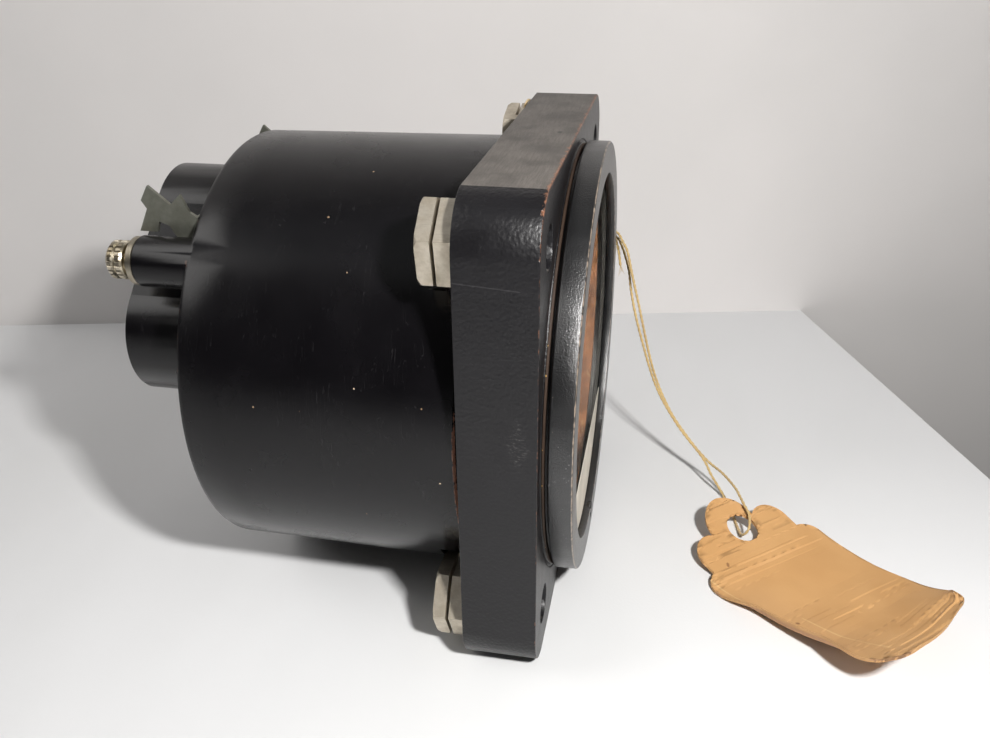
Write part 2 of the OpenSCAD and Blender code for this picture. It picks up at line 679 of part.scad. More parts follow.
// Everything on the staff turns by the rest angle, so that the pointer starts at the low end
module on_staff() {
    rotate([0, rest_angle, 0]) children();
}

// A rectangular frame round the core, across X
module coil_frame(grow, half_w) {
    difference() {
        translate([-coil_out_r, coil_front_y, -half_w])
            cube([2 * coil_out_r, coil_back_y - coil_front_y, 2 * half_w]);
        translate([-coil_in_r - grow, coil_front_y + coil_end_t - grow, -half_w - 1])
            cube([2 * (coil_in_r + grow), coil_back_y - coil_front_y - 2 * (coil_end_t - grow), 2 * half_w + 2]);
    }
}

coil_turn = 50;
module coil_winding() color("#a8552e") on_staff() rotate([0, coil_turn + rest_angle, 0])
    coil_frame(former_t, coil_w / 2);

module coil_former() color("#b9bcc0") on_staff() rotate([0, coil_turn + rest_angle, 0]) difference() {
    translate([-coil_in_r - former_t, coil_front_y + coil_end_t - former_t, -coil_w / 2])
        cube([2 * (coil_in_r + former_t), coil_back_y - coil_front_y - 2 * (coil_end_t - former_t), coil_w]);
    translate([-coil_in_r, coil_front_y + coil_end_t, -coil_w])
        cube([2 * coil_in_r, coil_back_y - coil_front_y - 2 * coil_end_t, 2 * coil_w]);
}

module front_staff() color("#b8b4a8") {
    bar_y(staff_r, hub_front_y, coil_front_y - 0.3);
    bar_y(hub_r, coil_front_y - 0.35, coil_front_y);
    bar_y(spring_in_r - 0.1, front_spring_y - 0.1, front_spring_y + spring_h + 0.1);
}

module rear_staff() color("#b8b4a8") {
    bar_y(hub_r, coil_back_y, coil_back_y + 0.35);
    bar_y(spring_in_r - 0.1, rear_spring_y - 0.1, rear_spring_y + spring_h + 0.1);
    bar_y(staff_r, coil_back_y + 0.3, rear_bridge_y + bridge_t - 0.3);
}

module pointer() color("#e8dfc6") on_staff() difference() {
    tail = 6;
    union() {
        plate_y(pointer_y, pointer_y + pointer_t) polygon([[-0.9, 0], [-0.55, pointer_len * 0.62],
            [-1.1, pointer_len * 0.68], [0, pointer_len], [1.1, pointer_len * 0.68],
            [0.55, pointer_len * 0.62], [0.9, 0], [0.7, -tail + 1], [1.3, -tail], [1.3, -tail - 1.6],
            [-1.3, -tail - 1.6], [-1.3, -tail], [-0.7, -tail + 1]]);
        turned([[0, hub_front_y], [1.6, hub_front_y], [2.2, hub_front_y + 0.4],
            [2.2, pointer_y + pointer_t], [0, pointer_y + pointer_t]]);
    }
    bar_y(staff_r + eps, hub_front_y - 1, dial_depth);
}

// Two cross arms with a sliding weight on each
module balance_arms() color("#b39a5a") on_staff() difference() {
    arms_y = front_spring_y + spring_h + 0.3;
    union() {
        bar_y(1.5, arms_y, arms_y + 0.5);
        for (a = [135, 225]) plate_y(arms_y, arms_y + 0.5) rotate(a) translate([0, -0.3]) square([5.6, 0.6]);
        for (a = [135, 225]) plate_y(arms_y - 0.2, arms_y + 0.7) rotate(a) translate([4, -0.8]) square([1.2, 1.6]);
    }
    bar_y(staff_r + eps, arms_y - 1, arms_y + 1);
}

// A flat spiral strip as [x, z], from the collet out to the stud below the axis
function spiral(r_in, r_out, turns, half) = let (n = turns * 24)
    concat([for (i = [0 : n]) let (a = -90 + 360 * turns * (i / n - 1), r = r_in + (r_out - r_in) * i / n - half)
        [r * cos(a), r * sin(a)]],
    [for (i = [n : -1 : 0]) let (a = -90 + 360 * turns * (i / n - 1), r = r_in + (r_out - r_in) * i / n + half)
        [r * cos(a), r * sin(a)]]);

module hairspring(y0) plate_y(y0, y0 + spring_h)
    polygon(spiral(spring_in_r, spring_out_r, spring_turns, spring_w / 2));

module front_hairspring() color("#c9a45c") hairspring(front_spring_y);
module rear_hairspring() color("#c9a45c") hairspring(rear_spring_y);

module terminal_studs() color("#a9905a") at_terminals() {
    inner_r = min(1.1, stud_r - 0.1);
    bar_y(stud_r, drum_floor_y + 0.4, thumb_back_y - 0.2);
    bar_y(inner_r, drum_floor_y - 0.7, drum_floor_y + 0.41);
}

// A strap inside the case from each stud towards the movement
module inner_straps() color("#b89a55") for (sx = [-1, 1]) difference() {
    strap_y = drum_floor_y - 0.55;
    plate_y(strap_y, drum_floor_y - seat_gap) rotate(sx > 0 ? post_angle : 180 - post_angle)
        translate([post_circle_r - 8, -1.6]) square([9.1, 3.2]);
    translate([sx * post_x, 0, post_z]) bar_y(1.15, strap_y - 1, drum_floor_y + 1);
}

module terminal_washer() ring_y(washer_d / 2, stud_r + 0.1, post_end_y + seat_gap, washer_back_y);

module near_washer() color("#a9a08c") translate([-post_x, 0, post_z]) terminal_washer();
module far_washer() color("#a9a08c") translate([post_x, 0, post_z]) terminal_washer();

// A thumb nut with two knurled bands
module thumb_nut() difference() {
    head_y = thumb_front_y + thumb_neck_len;
    mid_y = (head_y + thumb_back_y) / 2;
    thumb_r = thumb_d / 2;
    teeth = 24;
    tooth = 0.28;
    turned([[0, thumb_front_y], [thumb_r - 0.6, thumb_front_y], [thumb_r - 0.6, head_y],
        [thumb_r - 0.2, head_y], [thumb_r, head_y + 0.25], [thumb_r, mid_y - 0.25],
        [thumb_r - 0.3, mid_y], [thumb_r, mid_y + 0.25], [thumb_r, thumb_back_y - 0.4],
        [thumb_r - 0.4, thumb_back_y], [0, thumb_back_y]]);
    bar_y(stud_r + running_gap, thumb_front_y - 1, thumb_back_y + 1);
    for (i = [0 : teeth - 1]) rotate([0, i * 360 / teeth, 0]) translate([thumb_r + 0.06, head_y - 0.1, 0])
        rotate([0, 45, 0]) translate([-tooth / 2, 0, -tooth / 2]) cube([tooth, thumb_len + 0.2, tooth]);
}

module near_thumb_nut() color("#b5ab95") translate([-post_x, 0, post_z]) thumb_nut();
module far_thumb_nut() color("#b5ab95") translate([post_x, 0, post_z]) thumb_nut();

// A tinned sheet lug beside each post: a notched blade that stands out of the rear wall on a foot
module solder_lugs() color("#77766a") for (sx = [-1, 1]) difference() {
    lug_x = post_x - 2;
    lug_t = 0.45;
    base_y = drum_back_y;
    union() {
        translate([sx * lug_x - lug_t / 2, 0, 0]) rotate([90, 0, 90]) linear_extrude(lug_t)
            polygon([[base_y, 19], [base_y, 22.4], [base_y + 1, 23], [base_y + 1.9, 25.1],
                [base_y + 3.3, 23.8], [base_y + 5.9, 26], [base_y + 7, 24.2], [base_y + 6.4, 23.2],
                [base_y + 7.8, 20.4], [base_y + 5.5, 20.4], [base_y + 5.1, 21.7],
                [base_y + 3.8, 21.2], [base_y + 3.4, 20.4], [base_y + 2.4, 19]]);
        plate_y(base_y, base_y + lug_t) translate([sx > 0 ? lug_x - 4.2 : -lug_x, 19]) square([4.2, 3.4]);
    }
    translate([sx * (lug_x - 2.4), 0, 20.7]) bar_y(0.8, base_y - 1, base_y + 1);
    translate([sx * post_x, 0, post_z]) bar_y(post_r + seat_gap, base_y - 1, base_y + post_len);
}

module lug_rivets() color("#8f8a78") for (sx = [-1, 1])
    translate([sx * (post_x - 4.4), 0, 20.7]) turned([[0, drum_back_y], [0.75, drum_back_y],
        [0.75, drum_back_y + 0.47], [1.4, drum_back_y + 0.47], [1.1, drum_back_y + 0.9],
        [0, drum_back_y + 1]]);

module calibration_spool() color("#5b3a24") translate([0, 0, boss_foot_z]) difference() {
    turned([[1.1, spool_y], [spool_r, spool_y], [spool_r, spool_y + 0.8], [spool_core_r, spool_y + 0.8],
        [spool_core_r, boss_floor_y - 0.8], [spool_r, boss_floor_y - 0.8], [spool_r, boss_floor_y],
        [1.1, boss_floor_y]]);
}

module calibration_winding() color("#9a7a3a") translate([0, 0, boss_foot_z])
    ring_y(spool_r - 1, spool_core_r + seat_gap, spool_y + 0.85, boss_floor_y - 0.85);

module spool_screw() color("#9a958a") translate([0, 0, boss_foot_z]) difference() {
    union() {
        bar_y(1.9, spool_y - 1.1, spool_y);
        bar_y(1, spool_y - eps, boss_floor_y + boss_wall * 0.6);
    }
    translate([-2, spool_y - 1.2, -0.25]) cube([4, 0.6, 0.5]);
}

// A wire that leaves one face along Y, bends over and meets another face along Y
module lead(from, to, bow_from, bow_to) {
    swept(smooth([from, from + [0, bow_from, 0], (from + to) / 2 + [0, (bow_from + bow_to) / 2, 0],
        to + [0, bow_to, 0], to]), wire_r, string_sides);
}

module lead_wires() color("#7c2f25") {
    strap_r = post_circle_r - 6;
    strap_y = drum_floor_y - 0.55 - seat_gap;
    bridge_y = rear_bridge_y + bridge_t + seat_gap;
    spool_face = [0, spool_y - seat_gap, boss_foot_z];
    lead([-strap_r * cos(post_angle), strap_y, strap_r * sin(post_angle)], [-7, bridge_y, 1.5], -4, 3);
    lead([strap_r * cos(post_angle), strap_y, strap_r * sin(post_angle)],
        spool_face + [spool_r - 0.8, 0, 0], -3, -3);
    lead(spool_face - [spool_r - 0.8, 0, 0], [0, bridge_y, -spring_lug_r], -4, 3);
}

module tag_string() color("#d9b45a") swept(smooth(string_route), string_r, string_sides);

module string_knot() color("#d9b45a") translate(knot_at) sphere(r = knot_r);

// The tag's outline on the floor: a lobe round the hole, a scallop on each side of it and a square end
module tag_outline() {
    half = tag_w / 2;
    lobe_w = tag_lobe_w;
    first_notch = 3.3;
    second_notch = 8.7;
    scallop_w = half - 2.35;
    end_r = 3;
    circle(lobe_w);
    translate([-0.5, -lobe_w + 0.1]) square([first_notch, 2 * lobe_w - 0.2]);
    for (s = [-1, 1]) translate([first_notch - 0.6, s * (scallop_w - 3.1)]) circle(3.1);
    translate([first_notch - 2.6, -scallop_w + 2.4]) square([6, 2 * scallop_w - 4.8]);
    translate([first_notch - 0.6, -scallop_w]) square([5.6, 2 * scallop_w]);
    for (s = [-1, 1]) translate([second_notch - 1.3, s * (half - 2.6)]) circle(2.6);
    translate([second_notch - 1.3, -half]) square([tag_len - second_notch + 1.3 - end_r - lobe_w, tag_w]);
    translate([second_notch - 3, -half + end_r]) square([tag_len - second_notch + 3 - lobe_w, tag_w - 2 * end_r]);
    for (s = [-1, 1]) translate([tag_len - end_r - lobe_w, s * (half - end_r)]) circle(end_r);
}

module paper_tag() color("#d9a866") translate([tag_tip[0], tag_tip[1], floor_z]) rotate([0, 0, tag_turn])
    difference() {
        translate([0, 0, -1]) linear_extrude(12) difference() {
            translate([tag_lobe_w, 0]) tag_outline();
            translate(tag_hole_at) circle(tag_hole_d / 2);
        }
        rotate([0, 0, -tag_skew]) translate([tag_low_point, 2 * tag_w, tag_curl_r]) rotate([90, 0, 0]) {
            cylinder(r = tag_curl_r - tag_t, h = 4 * tag_w, $fn = 360);
            difference() {
                translate([-2 * tag_len, -2 * tag_curl_r, 0]) cube([4 * tag_len, 4 * tag_curl_r, 4 * tag_w]);
                translate([0, 0, -1]) cylinder(r = tag_curl_r, h = 4 * tag_w + 2, $fn = 360);
            }
        }
    }

flange_frame();
insert_nuts();
drum_case();
bezel_ring();
bezel_cement();
cover_glass();
glass_gasket();
glass_retainer();
fibre_spacer();
zero_screw();
zero_arm();
dial_plate();
dial_posts();
dial_screws();
chassis_plate();
chassis_pillars();
chassis_screws();
case_screws();
movement_posts();
pole_pieces();
magnet();
iron_core();
core_spacers();
front_bridge();
front_jewel();
rear_bridge();
rear_jewel();
bridge_screws();
coil_former();
coil_winding();
front_staff();
rear_staff();
pointer();
balance_arms();
front_hairspring();
rear_hairspring();
terminal_studs();
inner_straps();
near_washer();
far_washer();
near_thumb_nut();
far_thumb_nut();
solder_lugs();
lug_rivets();
calibration_spool();
calibration_winding();
spool_screw();
lead_wires();
tag_string();
string_knot();
paper_tag();
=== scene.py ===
import math
import random

import bpy
from mathutils import Matrix, Vector


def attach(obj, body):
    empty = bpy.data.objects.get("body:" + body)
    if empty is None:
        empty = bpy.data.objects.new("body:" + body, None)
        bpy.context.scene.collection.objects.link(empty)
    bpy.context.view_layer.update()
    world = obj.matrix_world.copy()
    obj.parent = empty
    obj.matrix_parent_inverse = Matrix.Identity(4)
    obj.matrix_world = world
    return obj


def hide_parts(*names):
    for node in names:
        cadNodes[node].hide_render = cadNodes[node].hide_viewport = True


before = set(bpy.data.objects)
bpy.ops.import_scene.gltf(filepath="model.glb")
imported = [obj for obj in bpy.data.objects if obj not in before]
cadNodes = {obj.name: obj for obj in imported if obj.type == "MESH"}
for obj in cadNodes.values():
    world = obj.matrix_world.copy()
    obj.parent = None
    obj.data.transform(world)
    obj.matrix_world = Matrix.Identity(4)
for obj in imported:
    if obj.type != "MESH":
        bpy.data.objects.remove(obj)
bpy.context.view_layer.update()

mm = 0.001
scene = bpy.context.scene
scene.view_settings.view_transform = "Standard"


# camera, solved from the photograph in the gauge's own frame: metres, radians and millimetres of lens
cameraValues = {
    "place": (-0.111965, -0.012028, 0.055345), "turn": (1.0970546, 0.0102150, -1.3760502),
    "lens": 33.198, "sensor": 36, "nearest": 0.004, "farthest": 20,
}
cameraData = bpy.data.cameras.new("photoCamera")
cameraData.lens = cameraValues["lens"]
cameraData.sensor_width = cameraValues["sensor"]
cameraData.clip_start = cameraValues["nearest"]
cameraData.clip_end = cameraValues["farthest"]
camera = bpy.data.objects.new("photoCamera", cameraData)
camera.location = cameraValues["place"]
camera.rotation_euler = cameraValues["turn"]
scene.collection.objects.link(camera)
scene.camera = camera
print("camera placed")


def deselectAll():
    if bpy.context.object and bpy.context.object.mode != "OBJECT":
        bpy.ops.object.mode_set(mode="OBJECT")
    bpy.ops.object.select_all(action="DESELECT")


def takeUp(piece):
    deselectAll()
    piece.select_set(True)
    bpy.context.view_layer.objects.active = piece


def editAll(piece):
    takeUp(piece)
    bpy.ops.object.mode_set(mode="EDIT")
    bpy.ops.mesh.select_all(action="SELECT")


def settle(piece):
    # the place, turn and scale go into the mesh
    takeUp(piece)
    bpy.ops.object.transform_apply(location=True, rotation=True, scale=True)


def faceOutwards(piece):
    editAll(piece)
    bpy.ops.mesh.normals_make_consistent(inside=False)
    bpy.ops.object.mode_set(mode="OBJECT")


def cutThrough(place, normal, **settings):
    # one straight cut through the whole mesh that is in edit mode
    bpy.ops.mesh.select_all(action="SELECT")
    bpy.ops.mesh.bisect(plane_co=tuple(place), plane_no=tuple(normal), **settings)


def meshPiece(name, points, faces):
    mesh = bpy.data.meshes.new(name)
    mesh.from_pydata([tuple(p) for p in points], [], faces)
    mesh.update()
    piece = bpy.data.objects.new(name, mesh)
    scene.collection.objects.link(piece)
    return piece


# material helpers: nodes are placed by kind, and a value is a number or another node's output
def put(tree, kind, inputs=None, **settings):
    made = tree.nodes.new(kind)
    for key, value in settings.items():
        setattr(made, key, value)
    for key, value in (inputs or {}).items():
        if isinstance(value, bpy.types.NodeSocket):
            tree.links.new(value, made.inputs[key])
        else:
            made.inputs[key].default_value = value
    return made


def calc(tree, operation, first, second=0.0, clamp=False):
    inputs = {0: first, 1: second}
    return put(tree, "ShaderNodeMath", inputs, operation=operation, use_clamp=clamp).outputs[0]


def plus(tree, first, second):
    return calc(tree, "ADD", first, second)


def minus(tree, first, second, clamp=False):
    return calc(tree, "SUBTRACT", first, second, clamp)


def times(tree, first, second, clamp=False):
    return calc(tree, "MULTIPLY", first, second, clamp)


def larger(tree, first, second):
    return calc(tree, "MAXIMUM", first, second)


def smaller(tree, first, second):
    return calc(tree, "MINIMUM", first, second)


def below(tree, value, level):
    return calc(tree, "LESS_THAN", value, level)


def absolute(tree, value):
    return calc(tree, "ABSOLUTE", value)


def farFrom(tree, value, level):
    # how far a value is from a level, above or below it
    return absolute(tree, minus(tree, value, level))


def hypotenuse(tree, first, second):
    return calc(tree, "SQRT", plus(tree, times(tree, first, first), times(tree, second, second)))


def between(tree, value, low, high):
    # 0 below the low value, 1 above the high one, and a soft rise between them
    return put(tree, "ShaderNodeMapRange", {"Value": value, "From Min": low, "From Max": high},
        interpolation_type="SMOOTHSTEP").outputs[0]


def fading(tree, value, low, high):
    # the opposite: 1 below the low value
    return minus(tree, 1.0, between(tree, value, low, high))


def mixColour(tree, share, first, second):
    return put(tree, "ShaderNodeMix", {0: share, 6: first, 7: second}, data_type="RGBA").outputs[2]


def coat(tree, under, mask, amount, colour):
    # a colour laid over another where a mask is, at a share of its strength
    return mixColour(tree, times(tree, mask, amount), under, colour)


def noiseOf(tree, place, scale, detail=2.0, roughness=0.5):
    return put(tree, "ShaderNodeTexNoise", {
        "Vector": place, "Scale": scale, "Detail": detail, "Roughness": roughness}).outputs[0]


def stretched(tree, place, by):
    return put(tree, "ShaderNodeVectorMath", {0: place, 1: by}, operation="MULTIPLY").outputs[0]


def axesOf(tree, vector):
    return put(tree, "ShaderNodeSeparateXYZ", {0: vector}).outputs


def distanceToLine(tree, first, second, start, end):
    # how far a point of a flat face lies from a short straight line on it
    across = (end[0] - start[0], end[1] - start[1])
    length = math.hypot(*across)
    along = (across[0] / length, across[1] / length)
    dx = minus(tree, first, start[0])
    dy = minus(tree, second, start[1])
    run = plus(tree, times(tree, dx, along[0]), times(tree, dy, along[1]))
    off = absolute(tree, minus(tree, times(tree, dx, -along[1]), times(tree, dy, -along[0])))
    before = larger(tree, times(tree, run, -1.0), 0.0)
    after = larger(tree, minus(tree, run, length), 0.0)
    return plus(tree, off, plus(tree, before, after))


# the effects that several materials share, each a node group with its own values at each use
def newGroup(name, inputs, outputs):
    # an input with no number is a vector, and the outputs are plain values
    group = bpy.data.node_groups.new(name, "ShaderNodeTree")
    for label, value in inputs.items():
        kind = "NodeSocketVector" if value is None else "NodeSocketFloat"
        socket = group.interface.new_socket(name=label, in_out="INPUT", socket_type=kind)
        if value is not None:
            socket.default_value = value
    for label in outputs:
        group.interface.new_socket(name=label, in_out="OUTPUT", socket_type="NodeSocketFloat")
    return group, group.nodes.new("NodeGroupInput").outputs, group.nodes.new("NodeGroupOutput").inputs


def makeSpeckGroup():
    # small light specks: one in some cells of a cell pattern, each with its own size
    group, got, given = newGroup("dustSpecks", {
        "Vector": None, "Scale": 0.5, "Share": 0.2, "Size": 0.12}, ["Mask"])
    warp = put(group, "ShaderNodeTexNoise", {"Vector": got["Vector"], "Scale": 6.0})
    warped = stretched(group, warp.outputs[1], (0.14, 0.14, 0.14))
    shifted = put(group, "ShaderNodeVectorMath", {0: got["Vector"], 1: warped}, operation="ADD")
    cells = put(group, "ShaderNodeTexVoronoi", {"Vector": shifted.outputs[0], "Scale": got["Scale"]})
    tint = put(group, "ShaderNodeSeparateColor", {"Color": cells.outputs["Color"]})
    chosen = below(group, tint.outputs[0], got["Share"])
    size = times(group, plus(group, calc(group, "POWER", tint.outputs[1], 2.0), 0.12), got["Size"])
    inside = below(group, cells.outputs["Distance"], size)
    group.links.new(times(group, chosen, inside), given["Mask"])
    return group


def makeScratchGroup():
    # fine lines: a noise stretched along one direction, kept only near one of its levels
    group, got, given = newGroup("fineScratches", {
        "Vector": None, "Stretch": None, "Scale": 1.0, "Width": 0.01, "Share": 0.5}, ["Mask"])
    level = noiseOf(group, stretched(group, got["Vector"], got["Stretch"]), got["Scale"], detail=1.0)
    line = below(group, farFrom(group, level, 0.5), got["Width"])
    where = calc(group, "GREATER_THAN", got["Share"], noiseOf(group, got["Vector"], 0.23))
    group.links.new(times(group, line, where), given["Mask"])
    return group


def makeRubGroup():
    # wear along an edge: strongest at the edge, broken up by a noise
    group, got, given = newGroup("rubbedEdge", {
        "Vector": None, "Distance": 1.0, "Width": 0.3, "Scale": 0.8, "Share": 0.5}, ["Mask"])
    near = minus(group, 1.0, calc(group, "DIVIDE", got["Distance"], got["Width"]), clamp=True)
    broken = noiseOf(group, got["Vector"], got["Scale"], detail=4.0, roughness=0.65)
    reach = plus(group, times(group, near, 0.35), got["Share"])
    mask = times(group, minus(group, plus(group, reach, broken), 1.0), 6.0, clamp=True)
    group.links.new(times(group, mask, calc(group, "GREATER_THAN", near, 0.02)), given["Mask"])
    return group


def makeGrainGroup():
    # surface texture: a fine and a coarse noise, as a height and as a tone
    group, got, given = newGroup("surfaceGrain", {
        "Vector": None, "Fine": 3.0, "Coarse": 0.2}, ["Height", "Tone"])
    fine = noiseOf(group, got["Vector"], got["Fine"], detail=3.0, roughness=0.6)
    coarse = noiseOf(group, got["Vector"], got["Coarse"], detail=3.0, roughness=0.55)
    group.links.new(plus(group, times(group, fine, 0.8), times(group, coarse, 0.2)), given["Height"])
    group.links.new(coarse, given["Tone"])
    return group


speckGroup = makeSpeckGroup()
scratchGroup = makeScratchGroup()
rubGroup = makeRubGroup()
grainGroup = makeGrainGroup()


def useGroup(tree, group, inputs):
    return put(tree, "ShaderNodeGroup", inputs, node_tree=group).outputs


def specksOn(tree, place, scale, share, size):
    return useGroup(tree, speckGroup, {
        "Vector": place, "Scale": scale, "Share": share, "Size": size})[0]


def scratchesOn(tree, place, stretch, scale, width, share):
    return useGroup(tree, scratchGroup, {
        "Vector": place, "Stretch": stretch, "Scale": scale, "Width": width, "Share": share})[0]


def rubOn(tree, place, distance, width, scale, share):
    return useGroup(tree, rubGroup, {
        "Vector": place, "Distance": distance, "Width": width, "Scale": scale, "Share": share})[0]


def grainOn(tree, place, fine, coarse):
    # its height and its tone
    return useGroup(tree, grainGroup, {"Vector": place, "Fine": fine, "Coarse": coarse})


def newMaterial(name, **constants):
    # place is in millimetres, from the piece's own coordinates
    material = bpy.data.materials.new(name)
    material.use_nodes = True
    tree = material.node_tree
    shader = tree.nodes["Principled BSDF"]
    for key, value in constants.items():
        shader.inputs[key.replace("_", " ")].default_value = value
    place = stretched(tree, put(tree, "ShaderNodeTexCoord").outputs["Object"], (1000, 1000, 1000))
    return material, tree, shader, place


def facingUp(tree):
    # how far a face looks upwards, from -1 to 1
    return axesOf(tree, put(tree, "ShaderNodeTexCoord").outputs["Normal"])[2]


def finishLook(tree, shader, colour, roughness=None, height=None, depth=0.00001, strength=1.0):
    tree.links.new(colour, shader.inputs["Base Color"])
    if roughness is not None:
        tree.links.new(roughness, shader.inputs["Roughness"])
    if height is not None:
        bump = put(tree, "ShaderNodeBump", {"Height": height, "Distance": depth, "Strength": strength})
        tree.links.new(bump.outputs[0], shader.inputs["Normal"])


def letThrough(tree, share, surface):
    # nothing is seen of the surface where the share is 1
    clear = put(tree, "ShaderNodeBsdfTransparent")
    both = put(tree, "ShaderNodeMixShader", {0: share, 1: surface, 2: clear.outputs[0]})
    tree.links.new(both.outputs[0], tree.nodes["Material Output"].inputs["Surface"])


# the moulded flange, in millimetres
flangeLook = {
    "half": 30.15, "cornerRadius": 6.35, "thickness": 9.0, "nearSide": -29.0,
    "sideColour": (0.004, 0.0037, 0.0045, 1), "sideSecond": (0.008, 0.0075, 0.009, 1),
    "cutColour": (0.075, 0.066, 0.057, 1), "cutLight": (0.155, 0.14, 0.125, 1),
    "cutDark": (0.06, 0.053, 0.047, 1),
    "chalkColour": (0.16, 0.15, 0.15, 1), "chalkAt": (2.2, 3.2),
    "scratchColour": (0.2, 0.19, 0.2, 1), "scratchStart": (9.0, 21.7), "scratchEnd": (1.97, 21.2),
    "hairlineColour": (0.22, 0.21, 0.22, 1), "dustColour": (0.32, 0.27, 0.22, 1),
    "wornColour": (0.32, 0.14, 0.075, 1), "pitColour": (0.004, 0.004, 0.004, 1), "pitAt": (-0.2, 2.2),
}


def outlineDistance(tree, x, z, half, cornerRadius):
    # how far a point lies from the outline of a square with round corners
    qx = minus(tree, absolute(tree, x), half - cornerRadius)
    qz = minus(tree, absolute(tree, z), half - cornerRadius)
    corner = hypotenuse(tree, larger(tree, qx, 0.0), larger(tree, qz, 0.0))
    straight = smaller(tree, larger(tree, qx, qz), 0.0)
    return absolute(tree, minus(tree, cornerRadius, plus(tree, corner, straight)))


def makeFlangeMaterial():
    look = flangeLook
    material, tree, shader, place = newMaterial("mouldedFlange", Specular_IOR_Level=0.42)
    x, y, z = axesOf(tree, place)
    nearSide = below(tree, x, look["nearSide"])
    # the top and bottom flats are machined, so their colour and lines differ from the moulded sides
    flat = between(tree, absolute(tree, facingUp(tree)), 0.975, 0.995)
    squeezed = stretched(tree, place, (0.16, 3.4, 1.0))
    lines = noiseOf(tree, squeezed, scale=2.2, detail=4.0, roughness=0.7)
    cloudy = noiseOf(tree, place, scale=0.28, detail=3.0)
    cut = mixColour(tree, between(tree, lines, 0.25, 0.8), look["cutColour"], look["cutLight"])
    cut = mixColour(tree, between(tree, cloudy, 0.3, 0.8), cut, look["cutDark"])
    grainHeight, grainTone = grainOn(tree, place, fine=2.6, coarse=0.35)
    side = mixColour(tree, grainTone, look["sideColour"], look["sideSecond"])
    colour = mixColour(tree, flat, side, cut)
    # a patch of chalky streaks halfway up the near side, and one long scratch above it
    chalkY, chalkZ = look["chalkAt"]
    fromChalk = plus(tree, farFrom(tree, y, chalkY), times(tree, farFrom(tree, z, chalkZ), 0.42))
    chalk = times(tree, fading(tree, fromChalk, 0.4, 2.0), nearSide)
    upright = stretched(tree, place, (1, 1.2, 3.2))
    streaky = noiseOf(tree, upright, scale=1.5, detail=5.0, roughness=0.75)
    streaks = between(tree, streaky, 0.5, 0.72)
    colour = coat(tree, colour, times(tree, chalk, streaks), 0.55, look["chalkColour"])
    scratch = distanceToLine(tree, y, z, look["scratchStart"], look["scratchEnd"])
    wavy = plus(tree, scratch, times(tree, noiseOf(tree, place, scale=1.2, detail=3.0), 0.14))
    scratched = times(tree, below(tree, wavy, 0.12), nearSide)
    colour = coat(tree, colour, scratched, 0.1, look["scratchColour"])
    hairlines = scratchesOn(tree, place, stretch=(0.5, 0.3, 1.6), scale=0.55, width=0.0012, share=0.47)
    colour = coat(tree, colour, hairlines, 0.08, look["hairlineColour"])
    dust = specksOn(tree, place, scale=0.62, share=0.16, size=0.085)
    colour = coat(tree, colour, dust, 0.8, look["dustColour"])
    # the edges are rubbed, most of all at the top corner
    fromOutline = outlineDistance(tree, x, z, look["half"], look["cornerRadius"])
    fromFront = plus(tree, absolute(tree, y), fromOutline)
    fromBack = plus(tree, farFrom(tree, y, look["thickness"]), fromOutline)
    topCorner = times(tree, between(tree, z, 24.0, 29.5), 0.2)
    frontRub = rubOn(tree, place, fromFront, width=0.3, scale=1.3, share=0.2)
    heavyRub = rubOn(tree, place, fromFront, width=0.55, scale=1.6, share=plus(tree, topCorner, 0.12))
    backRub = rubOn(tree, place, fromBack, width=0.25, scale=1.5, share=0.12)
    worn = larger(tree, larger(tree, frontRub, heavyRub), backRub)
    colour = coat(tree, colour, worn, 0.6, look["wornColour"])
    # one small dark pit in the machined flat
    pitX, pitY = look["pitAt"]
    fromPitX = calc(tree, "POWER", plus(tree, x, -pitX), 2.0)
    fromPitY = calc(tree, "POWER", minus(tree, y, pitY), 2.0)
    pit = calc(tree, "SQRT", plus(tree, fromPitX, fromPitY))
    pitted = times(tree, fading(tree, pit, 0.15, 0.45), flat)
    colour = mixColour(tree, pitted, colour, look["pitColour"])
    roughness = plus(tree, times(tree, flat, 0.17), plus(tree, times(tree, grainTone, 0.12), 0.32))
    # the moulded sides have a leathery skin
    skin = put(tree, "ShaderNodeTexVoronoi", {
        "Vector": place, "Scale": 2.4, "Randomness": 1.0}, feature="SMOOTH_F1")
    leather = plus(tree, times(tree, skin.outputs["Distance"], 0.5), times(tree, grainHeight, 0.7))
    height = put(tree, "ShaderNodeMix", {
        0: flat, 2: leather, 3: times(tree, lines, 0.35)}, data_type="FLOAT").outputs[0]
    height = minus(tree, height, times(tree, worn, 0.5))
    finishLook(tree, shader, colour, roughness, height, depth=0.00008, strength=0.9)
    return material


# the drum, in millimetres
drumLook = {
    "radius": 28.8, "frontEdge": 9.5, "rearEdge": 42.6,
    "colour": (0.0015, 0.0013, 0.0018, 1), "second": (0.004, 0.0035, 0.0045, 1),
    "ringColour": (0.2, 0.19, 0.2, 1),
    "speckColour": (0.62, 0.5, 0.36, 1), "rustColour": (0.5, 0.27, 0.12, 1),
    "wornColour": (0.5, 0.24, 0.16, 1), "rearWorn": (0.2, 0.11, 0.08, 1),
}


